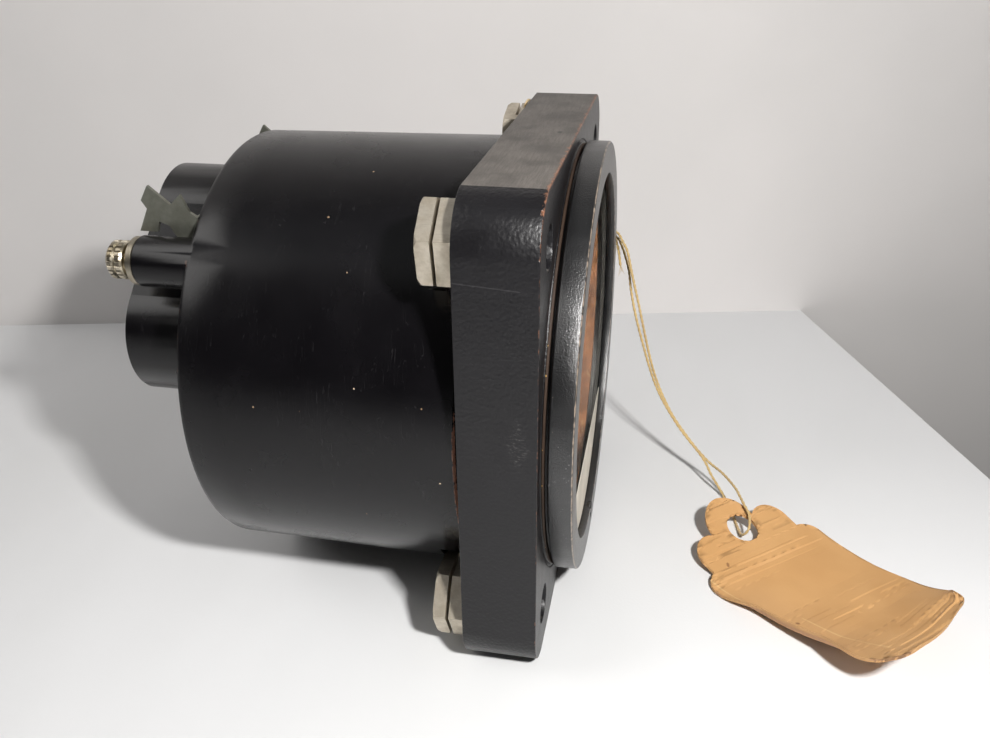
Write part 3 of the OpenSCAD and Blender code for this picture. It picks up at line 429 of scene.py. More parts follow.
def makeDrumMaterial():
    look = drumLook
    material, tree, shader, place = newMaterial("mouldedDrum", Specular_IOR_Level=0.36)
    x, y, z = axesOf(tree, place)
    grainHeight, grainTone = grainOn(tree, place, fine=3.1, coarse=0.16)
    colour = mixColour(tree, grainTone, look["colour"], look["second"])
    rings = scratchesOn(tree, place, stretch=(0.22, 2.6, 0.22), scale=0.8, width=0.003, share=0.5)
    colour = coat(tree, colour, rings, 0.06, look["ringColour"])
    largeSpecks = specksOn(tree, place, scale=0.21, share=0.2, size=0.075)
    smallSpecks = specksOn(tree, place, scale=0.6, share=0.24, size=0.075)
    tint = mixColour(tree, noiseOf(tree, place, scale=0.4), look["speckColour"], look["rustColour"])
    colour = coat(tree, colour, smallSpecks, 0.45, tint)
    colour = mixColour(tree, largeSpecks, colour, look["speckColour"])
    # the front rim is rubbed, most of all low on the side, and the rear rim a little
    radial = hypotenuse(tree, x, z)
    fromRim = plus(tree, farFrom(tree, radial, look["radius"] - 0.1),
        farFrom(tree, y, look["frontEdge"] + 0.1))
    lowSide = times(tree, fading(tree, absolute(tree, plus(tree, z, 5.0)), 5.0, 15.0), 0.42)
    rimRub = rubOn(tree, place, fromRim, width=0.36, scale=1.3, share=plus(tree, lowSide, 0.08))
    colour = coat(tree, colour, rimRub, 0.65, look["wornColour"])
    fromRear = plus(tree, farFrom(tree, radial, look["radius"] - 0.5),
        farFrom(tree, y, look["rearEdge"]))
    rearRub = rubOn(tree, place, fromRear, width=0.6, scale=0.5, share=0.16)
    colour = coat(tree, colour, rearRub, 0.5, look["rearWorn"])
    roughness = plus(tree, times(tree, grainTone, 0.14), 0.19)
    roughness = plus(tree, roughness, times(tree, largeSpecks, 0.4))
    height = plus(tree, grainHeight, times(tree, largeSpecks, 0.6))
    finishLook(tree, shader, colour, roughness, height, depth=0.000011, strength=0.8)
    return material


# the bezel, in millimetres
bezelLook = {
    "radius": 28.5, "front": -3.66, "window": 24.5,
    "colour": (0.003, 0.003, 0.0035, 1), "second": (0.008, 0.008, 0.0085, 1),
    "turnedColour": (0.06, 0.055, 0.055, 1), "paintedGlintColour": (0.62, 0.6, 0.6, 1),
    "dustColour": (0.4, 0.33, 0.28, 1), "bareMetal": (0.5, 0.4, 0.31, 1),
}


def makeBezelMaterial():
    look = bezelLook
    material, tree, shader, place = newMaterial("paintedBezel", Specular_IOR_Level=0.95)
    x, y, z = axesOf(tree, place)
    grainHeight, grainTone = grainOn(tree, place, fine=5.0, coarse=0.3)
    colour = mixColour(tree, grainTone, look["colour"], look["second"])
    squeezed = stretched(tree, place, (0.05, 5.0, 0.05))
    turning = noiseOf(tree, squeezed, scale=1.6, detail=3.0, roughness=0.7)
    colour = coat(tree, colour, between(tree, turning, 0.55, 0.8), 0.3, look["turnedColour"])
    # painted highlight: light specks painted into the crackled paint's colour, strongest low on the
    # barrel's side where the lamp's highlight falls
    paintedGlints = specksOn(tree, place, scale=3.2, share=0.34, size=0.17)
    lowSide = fading(tree, absolute(tree, plus(tree, z, 5.0)), 3.0, 18.0)
    lit = plus(tree, times(tree, lowSide, 0.4), 0.05)
    colour = coat(tree, colour, paintedGlints, lit, look["paintedGlintColour"])
    dust = specksOn(tree, place, scale=1.1, share=0.2, size=0.07)
    colour = coat(tree, colour, dust, 0.6, look["dustColour"])
    # bare metal shows on the outer edge and round the window
    radial = hypotenuse(tree, x, z)
    outer = plus(tree, farFrom(tree, radial, look["radius"] - 0.08),
        farFrom(tree, y, look["front"] + 0.08))
    inner = plus(tree, farFrom(tree, radial, look["window"]), farFrom(tree, y, look["front"]))
    outerRub = rubOn(tree, place, outer, width=0.2, scale=1.6, share=0.38)
    innerRub = rubOn(tree, place, inner, width=0.16, scale=1.8, share=0.26)
    colour = coat(tree, colour, larger(tree, outerRub, innerRub), 0.5, look["bareMetal"])
    roughness = plus(tree, times(tree, grainTone, 0.1), 0.26)
    finishLook(tree, shader, colour, roughness, grainHeight, depth=0.00007, strength=0.9)
    return material


# Metals and the other plain finishes: two colours, roughness, metallic, how far the grain is squeezed
# along x, y and z, and the grain's depth in metres.
plainFinishes = {
    "nickel": ((0.47, 0.43, 0.35), (0.33, 0.29, 0.22), 0.36, 1.0, (0.35, 4.0, 0.35), 0.00002),
    "nutNickel": ((0.70, 0.64, 0.54), (0.50, 0.44, 0.35), 0.5, 1.0, (3.2, 0.5, 0.6), 0.00003),
    "thumbNickel": ((0.60, 0.55, 0.45), (0.36, 0.30, 0.2), 0.30, 1.0, (0.8, 3.0, 0.8), 0.00002),
    "tin": ((0.26, 0.265, 0.225), (0.2, 0.2, 0.165), 0.44, 0.85, (0.5, 0.5, 0.5), 0.00001),
    "brass": ((0.58, 0.42, 0.18), (0.34, 0.22, 0.08), 0.32, 1.0, (0.6, 3.0, 0.6), 0.00001),
    "bronze": ((0.62, 0.42, 0.19), (0.45, 0.27, 0.1), 0.25, 1.0, (1.0, 1.0, 1.0), 0.00001),
    "springSteel": ((0.36, 0.35, 0.33), (0.2, 0.19, 0.18), 0.3, 1.0, (0.5, 3.0, 0.5), 0.00001),
    "darkSteel": ((0.10, 0.095, 0.09), (0.05, 0.045, 0.042), 0.42, 1.0, (1.0, 1.0, 1.0), 0.00001),
    "aluminium": ((0.6, 0.6, 0.59), (0.42, 0.42, 0.41), 0.36, 1.0, (3.0, 0.4, 0.4), 0.00001),
    "softIron": ((0.3, 0.29, 0.28), (0.17, 0.16, 0.15), 0.4, 1.0, (0.4, 3.0, 0.4), 0.00001),
    "magnetSteel": ((0.2, 0.21, 0.22), (0.11, 0.115, 0.12), 0.45, 1.0, (2.0, 1.0, 1.0), 0.00002),
    "gasketRubber": ((0.03, 0.026, 0.023), (0.05, 0.045, 0.04), 0.75, 0.0, (1.0, 1.0, 1.0), 0.00003),
    "copperWire": ((0.45, 0.15, 0.06), (0.25, 0.07, 0.03), 0.3, 0.6, (0.3, 6.0, 0.3), 0.00008),
    "resistanceWire": ((0.42, 0.28, 0.1), (0.22, 0.13, 0.05), 0.3, 0.6, (0.3, 6.0, 0.3), 0.00008),
    "spoolFibre": ((0.16, 0.08, 0.045), (0.09, 0.045, 0.025), 0.6, 0.0, (1.0, 1.0, 1.0), 0.00002),
    "wireCloth": ((0.28, 0.07, 0.045), (0.16, 0.035, 0.025), 0.65, 0.0, (1.0, 1.0, 1.0), 0.00004),
    "dialBlack": ((0.012, 0.012, 0.012), (0.022, 0.021, 0.02), 0.62, 0.0, (1.0, 1.0, 1.0), 0.00001),
    "creamPaint": ((0.72, 0.64, 0.47), (0.55, 0.46, 0.3), 0.6, 0.0, (1.0, 1.0, 1.0), 0.00001),
    "jewel": ((0.4, 0.06, 0.09), (0.26, 0.03, 0.05), 0.12, 0.0, (1.0, 1.0, 1.0), 0.000002),
}


def makePlainMaterial(name):
    first, second, roughness, metallic, squeeze, depth = plainFinishes[name]
    material, tree, shader, place = newMaterial(name, Metallic=metallic)
    grainHeight = grainOn(tree, stretched(tree, place, squeeze), fine=2.4, coarse=0.5)[0]
    clouds = noiseOf(tree, place, scale=0.45, detail=4.0, roughness=0.6)
    first, second = (*first, 1), (*second, 1)
    colour = mixColour(tree, between(tree, clouds, 0.35, 0.7), first, second)
    colour = coat(tree, colour, between(tree, grainHeight, 0.45, 0.65), 0.35, second)
    rough = plus(tree, times(tree, clouds, 0.22), roughness - 0.1)
    finishLook(tree, shader, colour, rough, grainHeight, depth, strength=0.8)
    return material


# dark cement with golden grains in it
cementLook = {
    "colour": (0.018, 0.011, 0.008, 1), "second": (0.05, 0.028, 0.016, 1),
    "goldColour": (0.5, 0.3, 0.1, 1),
}


def makeCementMaterial():
    look = cementLook
    material, tree, shader, place = newMaterial("grainyCement", Specular_IOR_Level=0.35)
    lumpHeight, lumpTone = grainOn(tree, place, fine=2.6, coarse=0.6)
    colour = mixColour(tree, lumpTone, look["colour"], look["second"])
    gold = specksOn(tree, place, scale=2.1, share=0.26, size=0.3)
    colour = coat(tree, colour, gold, 0.8, look["goldColour"])
    roughness = plus(tree, times(tree, lumpTone, 0.3), 0.45)
    finishLook(tree, shader, colour, roughness, lumpHeight, depth=0.00006)
    return material


# vulcanised fibre ring that shows as a brown band behind the glass
fibreLook = {
    "colour": (0.27, 0.105, 0.04, 1), "second": (0.13, 0.05, 0.02, 1),
    "stainColour": (0.34, 0.2, 0.1, 1),
}


def makeFibreMaterial():
    look = fibreLook
    material, tree, shader, place = newMaterial("brownFibre", Specular_IOR_Level=0.3)
    grainHeight, grainTone = grainOn(tree, place, fine=1.1, coarse=0.33)
    squeezed = stretched(tree, place, (1.0, 2.0, 1.0))
    stains = noiseOf(tree, squeezed, scale=0.5, detail=5.0, roughness=0.7)
    colour = mixColour(tree, between(tree, grainTone, 0.35, 0.65), look["colour"], look["second"])
    colour = coat(tree, colour, between(tree, stains, 0.52, 0.7), 0.7, look["stainColour"])
    roughness = plus(tree, times(tree, stains, 0.3), 0.45)
    finishLook(tree, shader, colour, roughness, grainHeight, depth=0.00004)
    return material


# the glass: clear, with smears and a little dust
glassLook = {
    "colour": (0.97, 0.985, 0.975, 1), "smearColour": (0.90, 0.92, 0.90, 1),
    "throughColour": (0.94, 0.955, 0.945, 1), "throughShare": 0.94, "bending": 1.5,
}


def makeGlassMaterial():
    look = glassLook
    material, tree, shader, place = newMaterial("coverGlass", Roughness=0.0, IOR=look["bending"],
        Transmission_Weight=1.0, Specular_IOR_Level=0.1)
    smears = noiseOf(tree, place, scale=0.12, detail=4.0, roughness=0.6)
    colour = mixColour(tree, between(tree, smears, 0.4, 0.75), look["colour"], look["smearColour"])
    dust = specksOn(tree, place, scale=0.8, share=0.12, size=0.05)
    finishLook(tree, shader, colour, times(tree, dust, 0.6))
    # nearly all the light goes through, as no reflection of the room shows on the real window
    through = put(tree, "ShaderNodeBsdfRefraction", {
        "Color": look["throughColour"], "Roughness": 0.0, "IOR": look["bending"]})
    mostly = put(tree, "ShaderNodeMixShader", {
        0: look["throughShare"], 1: shader.outputs[0], 2: through.outputs[0]})
    # and it throws no shadow on the dial
    letThrough(tree, put(tree, "ShaderNodeLightPath").outputs["Is Shadow Ray"], mostly.outputs[0])
    return material


# cotton string
cottonLook = {
    "colour": (0.58, 0.41, 0.17, 1), "second": (0.46, 0.30, 0.11, 1),
    "fuzzColour": (0.70, 0.56, 0.33, 1),
}


def makeCottonMaterial():
    look = cottonLook
    material, tree, shader, place = newMaterial("goldenCotton", Sheen_Weight=0.35, Sheen_Roughness=0.5,
        Specular_IOR_Level=0.25)
    fuzzHeight, fuzzTone = grainOn(tree, place, fine=9.0, coarse=0.25)
    colour = mixColour(tree, between(tree, fuzzTone, 0.35, 0.65), look["colour"], look["second"])
    colour = coat(tree, colour, between(tree, fuzzHeight, 0.45, 0.62), 0.5, look["fuzzColour"])
    roughness = plus(tree, times(tree, fuzzHeight, 0.2), 0.62)
    finishLook(tree, shader, colour, roughness, fuzzHeight, depth=0.00006)
    return material


# The card's tip, its turn on the table and its size, in millimetres, and its colours. A crease or a
# spot goes from one place to another, each given as the run from the tip and the side from the middle.
tagLook = {
    "tip": (5.74, -21.55), "turn": math.radians(226.6), "skew": math.radians(6.24),
    "length": 37.7, "halfWidth": 11.25,
    "colour": (0.58, 0.33, 0.137, 1), "second": (0.54, 0.30, 0.12, 1),
    "fibreColour": (0.5, 0.27, 0.1, 1),
    "nearEdgeShadeColour": (0.45, 0.29, 0.16, 1), "undersideShadeColour": (0.5, 0.27, 0.14, 1),
    "creaseColour": (0.72, 0.5, 0.24, 1),
    "creases": (((22.0, -6.5), (34.5, -7.5)), ((9.5, -10.4), (19.0, -9.7))),
    "spotColour": (0.2, 0.09, 0.04, 1),
    "spots": (((22.2, -7.9), (22.5, -7.85)), ((8.7, -6.0), (9.1, -6.3))),
}


def makeCardMaterial():
    look = tagLook
    material, tree, shader, place = newMaterial("manilaCard", Specular_IOR_Level=0.3)
    x, y = axesOf(tree, place)[:2]
    alongX, alongY = math.cos(look["turn"]), math.sin(look["turn"])
    dx = minus(tree, x, look["tip"][0])
    dy = minus(tree, y, look["tip"][1])
    run = plus(tree, times(tree, dx, alongX), times(tree, dy, alongY))
    side = minus(tree, times(tree, dy, alongX), times(tree, dx, alongY))
    pulpHeight, pulpTone = grainOn(tree, place, fine=2.2, coarse=0.16)
    blotches = noiseOf(tree, place, scale=0.13, roughness=0.45)
    colour = mixColour(tree, between(tree, blotches, 0.35, 0.68), look["colour"], look["second"])
    colour = coat(tree, colour, between(tree, pulpHeight, 0.5, 0.66), 0.06, look["fibreColour"])
    # painted shade: a greyer, darker zone along the near edge, where the card bends up, mottled by the
    # blotches
    nearEdgeZone = times(tree, fading(tree, side, -9.0, -1.5), between(tree, run, 9.0, 17.0))
    paintedNearEdgeShade = times(tree, nearEdgeZone, plus(tree, times(tree, blotches, 0.9), 0.1))
    colour = coat(tree, colour, paintedNearEdgeShade, 0.4, look["nearEdgeShadeColour"])
    creases = [plus(tree, distanceToLine(tree, run, side, *line), times(tree, pulpTone, 0.3))
        for line in look["creases"]]
    creased = fading(tree, smaller(tree, *creases), 0.12, 0.34)
    colour = coat(tree, colour, creased, 0.55, look["creaseColour"])
    spots = [fading(tree, distanceToLine(tree, run, side, *line), 0.08, 0.3) for line in look["spots"]]
    colour = coat(tree, colour, larger(tree, *spots), 0.75, look["spotColour"])
    # painted shade: faces that look downwards, the card's underside where it curls up, are coloured
    # darker
    under = between(tree, times(tree, facingUp(tree), -1.0), 0.0, 0.2)
    colour = coat(tree, colour, under, 0.7, look["undersideShadeColour"])
    roughness = plus(tree, times(tree, blotches, 0.2), 0.6)
    height = plus(tree, pulpHeight, times(tree, creased, 0.8))
    finishLook(tree, shader, colour, roughness, height, depth=0.000015)
    return material


cotton = makeCottonMaterial()
card = makeCardMaterial()
print("materials for string and card made")


# the string: its sizes and its route are the part's own, in millimetres
stringValues = {
    "diameter": 0.45, "twistPitch": 1.7, "plies": 2, "ringGap": 0.16, "ringPoints": 12,
    "routeSteps": 24, "halfPitch": 23.57, "nutWidth": 9.0, "nutClearance": 0.22, "behind": 10.1,
    "tuckAt": 225, "tuck": 0.5,
}
knotAt = (30, -2.9, 7.7)


def loopRoundNut():
    # the loop round the far upper nut, pulled in where it passes between the nut and the drum
    values = stringValues
    clear = values["nutWidth"] / math.sqrt(3) + values["diameter"] / 2 + values["nutClearance"]
    places = []
    for angle in (-20, 25, 70, 115, 160, 202, 225, 248, 288):
        reach = clear - (values["tuck"] if angle == values["tuckAt"] else 0)
        places.append((values["halfPitch"] + reach * math.cos(math.radians(angle)), values["behind"],
            values["halfPitch"] + reach * math.sin(math.radians(angle))))
    return places


# from the frayed end through the knot and down one strand to the tag's hole, up the other strand,
# through the knot again, round the flange's far edge and the nut behind it, and through the knot to
# the other frayed end
stringRoute = [
    (28.4, -4.5, 2.6), (29.1, -3.9, 5.4), knotAt, (28.6, -3.85, 7.95), (27.3, -4.75, 7.0),
    (26.3, -5.6, 5.75), (25.5, -6.6, 2.2), (25.1, -7.8, -2.1),
    (23.3, -10.9, -12.8), (21.2, -14.1, -19.1), (18.7, -17.6, -22.9), (16.7, -20.6, -25.3),
    (13.6, -23.1, -25.6), (10.1, -24.9, -25.7), (7.9, -25.6, -25.8), (6.2, -26.1, -25.95),
    (4.6, -26.9, -26.75), (2.8, -26.9, -27.9), (2.9, -26.1, -29.2), (5.4, -25.6, -29.8),
    (9.5, -24.8, -29.85), (13.3, -23.6, -29.5), (15.1, -21.6, -27.2), (16.7, -19.9, -24.9),
    (19.1, -15.6, -20.7), (21.0, -11.6, -14.7), (23.1, -8.2, -5.7), (26.0, -6.6, -0.9),
    (26.9, -5.95, 2.5), (27.8, -5.05, 5.0), (28.8, -4.1, 6.7), knotAt, (30.35, -2.8, 10.2),
    (30.8, -1.9, 12.8), (30.9, -0.4, 14.7), (30.9, 4.5, 16.6), (30.8, 8.8, 18.6)] + loopRoundNut() + [
    (29.0, 10.1, 16.9), (30.8, 8.6, 16.2), (31.0, 4.5, 14.2), (31.0, 0.6, 11.7), (30.95, -1.4, 9.5),
    knotAt, (30.7, -3.4, 6.2), (30.6, -3.9, 4.6)]


def smoothRoute(route, steps):
    # a curve through the points, which stops halfway along the last step as the part's does
    points = [Vector(p) * mm for p in route]
    found = []
    last = len(points) - 1
    for i in range(last):
        a, b, c, d = points[max(i - 1, 0)], points[i], points[i + 1], points[min(i + 2, last)]
        for k in range(steps if i < last - 1 else steps // 2 + 1):
            t = k / steps
            bend = 2 * a - 5 * b + 4 * c - d + t * (3 * b - a - 3 * c + d)
            found.append(b + t / 2 * (c - a + t * bend))
    return found


def evenly(path, gap):
    # the same path with its points a fixed distance apart
    found = [path[0]]
    carried = 0.0
    for a, b in zip(path, path[1:]):
        length = (b - a).length
        at = gap - carried
        while at <= length:
            found.append(a.lerp(b, at / length))
            at += gap
        carried = length - (at - gap)
    if (path[-1] - found[-1]).length > gap * 0.3:
        found.append(path[-1])
    return found


def pathLength(path):
    return sum((b - a).length for a, b in zip(path, path[1:]))


def yarn(name, path, radius, plies, pitch, count, closed=False, lobe=0.16):
    # plied yarn: a ring with one bulge for each ply, turned a little further at each step
    rings = len(path)
    side = Vector((0.31, 0.22, 0.92))  # any direction across the yarn's start
    points = []
    run = 0.0
    for i, centre in enumerate(path):
        before = path[i - 1] if i or closed else path[0]
        after = path[(i + 1) % rings] if i < rings - 1 or closed else path[-1]
        tangent = (after - before).normalized()
        side = (side - tangent * side.dot(tangent)).normalized()
        other = tangent.cross(side)
        if i:
            run += (centre - path[i - 1]).length
        turn = 2 * math.pi * run / pitch
        for k in range(count):
            angle = 2 * math.pi * k / count
            reach = radius * (1 - lobe + lobe * math.cos(plies * (angle - turn)))
            points.append(centre + reach * (math.cos(angle) * side + math.sin(angle) * other))
    faces = []
    for i in range(rings if closed else rings - 1):
        j = (i + 1) % rings
        for k in range(count):
            n = (k + 1) % count
            faces.append((i * count + k, i * count + n, j * count + n, j * count + k))
    if not closed:
        faces.append(tuple(range(count - 1, -1, -1)))
        faces.append(tuple((rings - 1) * count + k for k in range(count)))
    piece = meshPiece(name, points, faces)
    faceOutwards(piece)
    bpy.ops.object.shade_smooth()
    piece.data.materials.append(cotton)
    return piece


stringCurve = smoothRoute(stringRoute, stringValues["routeSteps"])
stringPath = evenly(stringCurve, stringValues["ringGap"] * mm)
tagString = yarn("tagString", stringPath, stringValues["diameter"] / 2 * mm, stringValues["plies"],
    stringValues["twistPitch"] * mm, stringValues["ringPoints"])
print("string length in mm", round(pathLength(stringPath) / mm, 2), "points", len(stringPath))


# the knot: a tight loop of the same yarn, tied over and through itself
knotValues = {
    "reach": 0.195, "depth": 1.25, "points": 150,
    "yarnRadius": 0.23, "twistPitch": 1.6, "plies": 2, "ringPoints": 10, "lobe": 0.12,
}


def makeKnot():
    values = knotValues
    path = []
    for i in range(values["points"]):
        t = 2 * math.pi * i / values["points"]
        path.append(Vector(knotAt) * mm + values["reach"] * mm * Vector((
            math.sin(t) + 2 * math.sin(2 * t), -math.sin(3 * t) * values["depth"],
            math.cos(t) - 2 * math.cos(2 * t))))
    return yarn("tiedKnot", path, values["yarnRadius"] * mm, values["plies"],
        values["twistPitch"] * mm, values["ringPoints"], closed=True, lobe=values["lobe"])


stringKnot = makeKnot()


# the frayed ends: loose fibres that spread from each cut end, in millimetres
frayValues = {
    "fibres": 11, "length": 1.5, "shortest": 0.45, "sink": 0.1, "spread": 0.42,
    "droop": 0.25, "sway": 0.3, "thickness": 0.03, "taper": 0.6, "rings": 5, "sides": 3,
}


def frayedEnds(name, ends):
    values = frayValues
    rings, sides = values["rings"], values["sides"]
    chance = random.Random(7)
    points, faces = [], []
    for end, direction in ends:
        for i in range(values["fibres"]):
            stray = Vector((chance.uniform(-1, 1), chance.uniform(-1, 1), chance.uniform(-1, 1)))
            heading = (direction + values["spread"] * stray).normalized()
            sway = Vector((chance.uniform(-1, 1), chance.uniform(-1, 1), 0))
            droop = Vector((0, 0, -values["droop"])) + values["sway"] * sway
            length = values["length"] * chance.uniform(values["shortest"], 1) * mm
            start = end - direction * values["sink"] * mm
            side = heading.orthogonal().normalized()
            other = heading.cross(side)
            first = len(points)
            for k in range(rings):
                t = k / (rings - 1)
                centre = start + heading * length * t + droop * length * t * t
                thickness = values["thickness"] * mm * (1 - values["taper"] * t)
                for a in range(sides):
                    angle = 2 * math.pi * a / sides
                    out = math.cos(angle) * side + math.sin(angle) * other
                    points.append(centre + thickness * out)
            for k in range(rings - 1):
                ring = first + k * sides
                for a in range(sides):
                    b = (a + 1) % sides
                    faces.append((ring + a, ring + b, ring + sides + b, ring + sides + a))
            faces.append(tuple(first + a for a in reversed(range(sides))))
            faces.append(tuple(first + (rings - 1) * sides + a for a in range(sides)))
    piece = meshPiece(name, points, faces)
    piece.data.materials.append(cotton)
    return piece


frayed = frayedEnds("frayedEnds", [
    (stringPath[0], (stringPath[0] - stringPath[3]).normalized()),
    (stringPath[-1], (stringPath[-1] - stringPath[-4]).normalized())])


# the paper tag: the part's own sheet, cut finely and bent where the real card has curled and creased
bendValues = {
    "cut": 0.9, "rowsEachSide": 12, "foldLine": -8.3, "steepest": math.radians(78),
    "start": 11.0, "full": 19.0, "fade": 27.0, "end": 34.5, "ripple": 0.16, "rippleFrom": (6, 14),
}
# the far corner of the square end is worn round, and its very point more: where, and how far
cornerWear = (
    {"run": (24, 37.5), "side": (-5, 11), "endBack": 2.1, "sideBack": 2.0},
    {"run": (33, 37.7), "side": (7, 11.25), "endBack": 1.2, "sideBack": 1.1},
)


def smoothStep(low, high, value):
    t = min(max((value - low) / (high - low), 0), 1)
    return t * t * (3 - 2 * t)


def bentPlace(run, side, lift):
    # where a point of the flat card has gone: run and side in millimetres, lift in metres
    bend = bendValues
    past = bend["foldLine"] - side
    strength = smoothStep(bend["start"], bend["full"], run)
    strength *= 1 - smoothStep(bend["fade"], bend["end"], run)
    angle = bend["steepest"] * strength * past / (tagLook["halfWidth"] + bend["foldLine"])
    if past > 0 and angle > 1e-4:
        # the near edge turns up round an arc
        radius = past / angle
        side = bend["foldLine"] - radius * math.sin(angle)
        lift += radius * (1 - math.cos(angle)) * mm
    wear = [smoothStep(*zone["run"], run) * smoothStep(*zone["side"], side) for zone in cornerWear]
    for zone, share in zip(cornerWear, wear):
        run -= zone["endBack"] * share
        side -= zone["sideBack"] * share
    ripple = bend["ripple"] * math.sin(run * 0.42 + 0.8) * math.sin(side * 0.31)
    ripple *= smoothStep(*bend["rippleFrom"], run)
    return run, side, lift + abs(ripple) * mm


def makeTag():
    look, bend = tagLook, bendValues
    piece = cadNodes["paper_tag"].copy()
    piece.data = cadNodes["paper_tag"].data.copy()
    piece.name = piece.data.name = "paperTag"
    piece.parent = None
    scene.collection.objects.link(piece)
    piece.matrix_world = Matrix.Identity(4)
    along = Vector((math.cos(look["turn"]), math.sin(look["turn"]), 0))
    across = Vector((-along.y, along.x, 0))
    tip = Vector((look["tip"][0], look["tip"][1], 0))
    editAll(piece)
    bpy.ops.mesh.remove_doubles(threshold=0.000001)
    bpy.ops.mesh.dissolve_limited(angle_limit=math.radians(0.4))
    # the cuts across the card run along its curl's straight lines
    ruled = along * math.cos(look["skew"]) - across * math.sin(look["skew"])
    for i in range(-1, int(look["length"] / bend["cut"]) + 3):
        cutThrough((tip + ruled * i * bend["cut"]) * mm, ruled)
    for i in range(-bend["rowsEachSide"], bend["rowsEachSide"] + 1):
        cutThrough((tip + across * i * bend["cut"]) * mm, across)
    bpy.ops.mesh.select_all(action="SELECT")
    bpy.ops.mesh.remove_doubles(threshold=0.00005)
    faceOutwards(piece)
    for vertex in piece.data.vertices:
        place = Vector((vertex.co.x, vertex.co.y, 0)) / mm - tip
        run, side, lift = bentPlace(place.dot(along), place.dot(across), vertex.co.z)
        spot = tip + along * run + across * side
        vertex.co = Vector((spot.x * mm, spot.y * mm, lift))
    takeUp(piece)
    bpy.ops.object.shade_smooth_by_angle(angle=math.radians(40))
    even = piece.modifiers.new("evenNormals", "WEIGHTED_NORMAL")
    even.keep_sharp = True
    bpy.ops.object.modifier_apply(modifier=even.name)
    piece.data.materials.clear()
    piece.data.materials.append(card)
    return piece


paperTag = makeTag()
for piece, node in ((tagString, "tag_string"), (stringKnot, "string_knot"), (paperTag, "paper_tag")):
    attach(piece, "case")
    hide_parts(node)
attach(frayed, "case")
print("string, knot and tag made")


# materials for the CAD nodes
finishes = {name: makePlainMaterial(name) for name in plainFinishes}
finishes["flange"] = makeFlangeMaterial()
finishes["drum"] = makeDrumMaterial()
finishes["bezel"] = makeBezelMaterial()
finishes["fibre"] = makeFibreMaterial()
finishes["cement"] = makeCementMaterial()
finishes["glass"] = makeGlassMaterial()
nodeFinish = {
    "flange_frame": "flange", "insert_nuts": "nutNickel", "drum_case": "drum",
    "bezel_ring": "bezel", "bezel_cement": "cement", "cover_glass": "glass",
    "glass_gasket": "gasketRubber", "glass_retainer": "darkSteel", "fibre_spacer": "fibre",
    "zero_screw": "darkSteel", "zero_arm": "brass", "dial_plate": "dialBlack",
    "dial_posts": "brass", "dial_screws": "nickel", "chassis_plate": "aluminium",
    "chassis_pillars": "brass", "chassis_screws": "nickel", "case_screws": "nickel",
    "movement_posts": "brass", "pole_pieces": "softIron", "magnet": "magnetSteel",
    "iron_core": "softIron", "core_spacers": "brass", "front_bridge": "nickel",
    "front_jewel": "jewel", "rear_bridge": "nickel", "rear_jewel": "jewel",
    "bridge_screws": "nickel", "coil_former": "aluminium", "coil_winding": "copperWire",
    "front_staff": "springSteel", "rear_staff": "springSteel", "pointer": "creamPaint",
    "balance_arms": "brass", "front_hairspring": "bronze", "rear_hairspring": "bronze",
    "terminal_studs": "brass", "inner_straps": "brass", "near_washer": "nickel",
    "far_washer": "nickel", "near_thumb_nut": "thumbNickel", "far_thumb_nut": "thumbNickel",
    "solder_lugs": "tin", "lug_rivets": "nickel", "calibration_spool": "spoolFibre",
    "calibration_winding": "resistanceWire", "spool_screw": "nickel", "lead_wires": "wireCloth",
}
for name, finish in nodeFinish.items():
    for slot in cadNodes[name].material_slots:
        slot.link = "OBJECT"
        slot.material = finishes[finish]

# Worn moulded and turned edges catch the light: the loose triangles are joined, and sharp edges
# rounded, live. Each row says how wide the rounding is, in millimetres, and in how many steps.
edgeRounding = {
    "flange_frame": (0.22, 3), "drum_case": (0.24, 3), "bezel_ring": (0.07, 2),
    "insert_nuts": (0.07, 2), "case_screws": (0.05, 2),
}
for name, (width, segments) in edgeRounding.items():
    node = cadNodes[name]
    weld = node.modifiers.new("joinTriangles", "WELD")
    weld.merge_threshold = 0.000002
    bevel = node.modifiers.new("softEdges", "BEVEL")
    bevel.width = width * mm
    bevel.segments = segments
    bevel.limit_method = "ANGLE"
    bevel.angle_limit = math.radians(38)
    bevel.harden_normals = True
print("materials on the CAD nodes")


# the dial's scale: plain ticks and plain numbers, in millimetres and degrees
dialValues = {
    "face": 3.0, "height": 0.03, "firstAngle": -50, "lastAngle": 50,
    "tickStep": 5, "longTickStep": 25, "outer": 21.6,
    "tickLength": 1.7, "longTickLength": 3.2, "tickWidth": 0.28, "longTickWidth": 0.55,
    "numbers": ["-50", "0", "50", "100", "150"],
    "numberSize": 3.4, "numberRadius": 15.6, "numberWeight": 0.06,
}


def makeTick(angle, length, width):
    values = dialValues
    deselectAll()
    bpy.ops.mesh.primitive_plane_add(size=1, location=(0, 0, 0), rotation=(math.radians(90), 0, 0))
    tick = bpy.context.object
    tick.scale = (width * mm, length * mm, 1)
    settle(tick)
    editAll(tick)
    bpy.ops.mesh.extrude_region_move(TRANSFORM_OT_translate={"value": (0, -values["height"] * mm, 0)})
    faceOutwards(tick)
    tick.location = (0, values["face"] * mm, (values["outer"] - length / 2) * mm)
    settle(tick)
    tick.rotation_euler = (0, math.radians(angle), 0)
    settle(tick)
    return tick


def makeNumber(text, angle):
    values = dialValues
    deselectAll()
    bpy.ops.object.text_add(location=(0, 0, 0))
    label = bpy.context.object
    label.data.body = text
    label.data.size = values["numberSize"] * mm
    label.data.align_x = "CENTER"
    label.data.align_y = "CENTER"
    label.data.extrude = values["height"] / 2 * mm
    label.data.offset = values["numberWeight"] * mm
    takeUp(label)
    bpy.ops.object.convert(target="MESH")
    label = bpy.context.object
    label.rotation_euler = (math.radians(90), 0, 0)
    label.location = (values["numberRadius"] * math.sin(angle) * mm,
        (values["face"] - values["height"] / 2) * mm, values["numberRadius"] * math.cos(angle) * mm)
    settle(label)
    return label


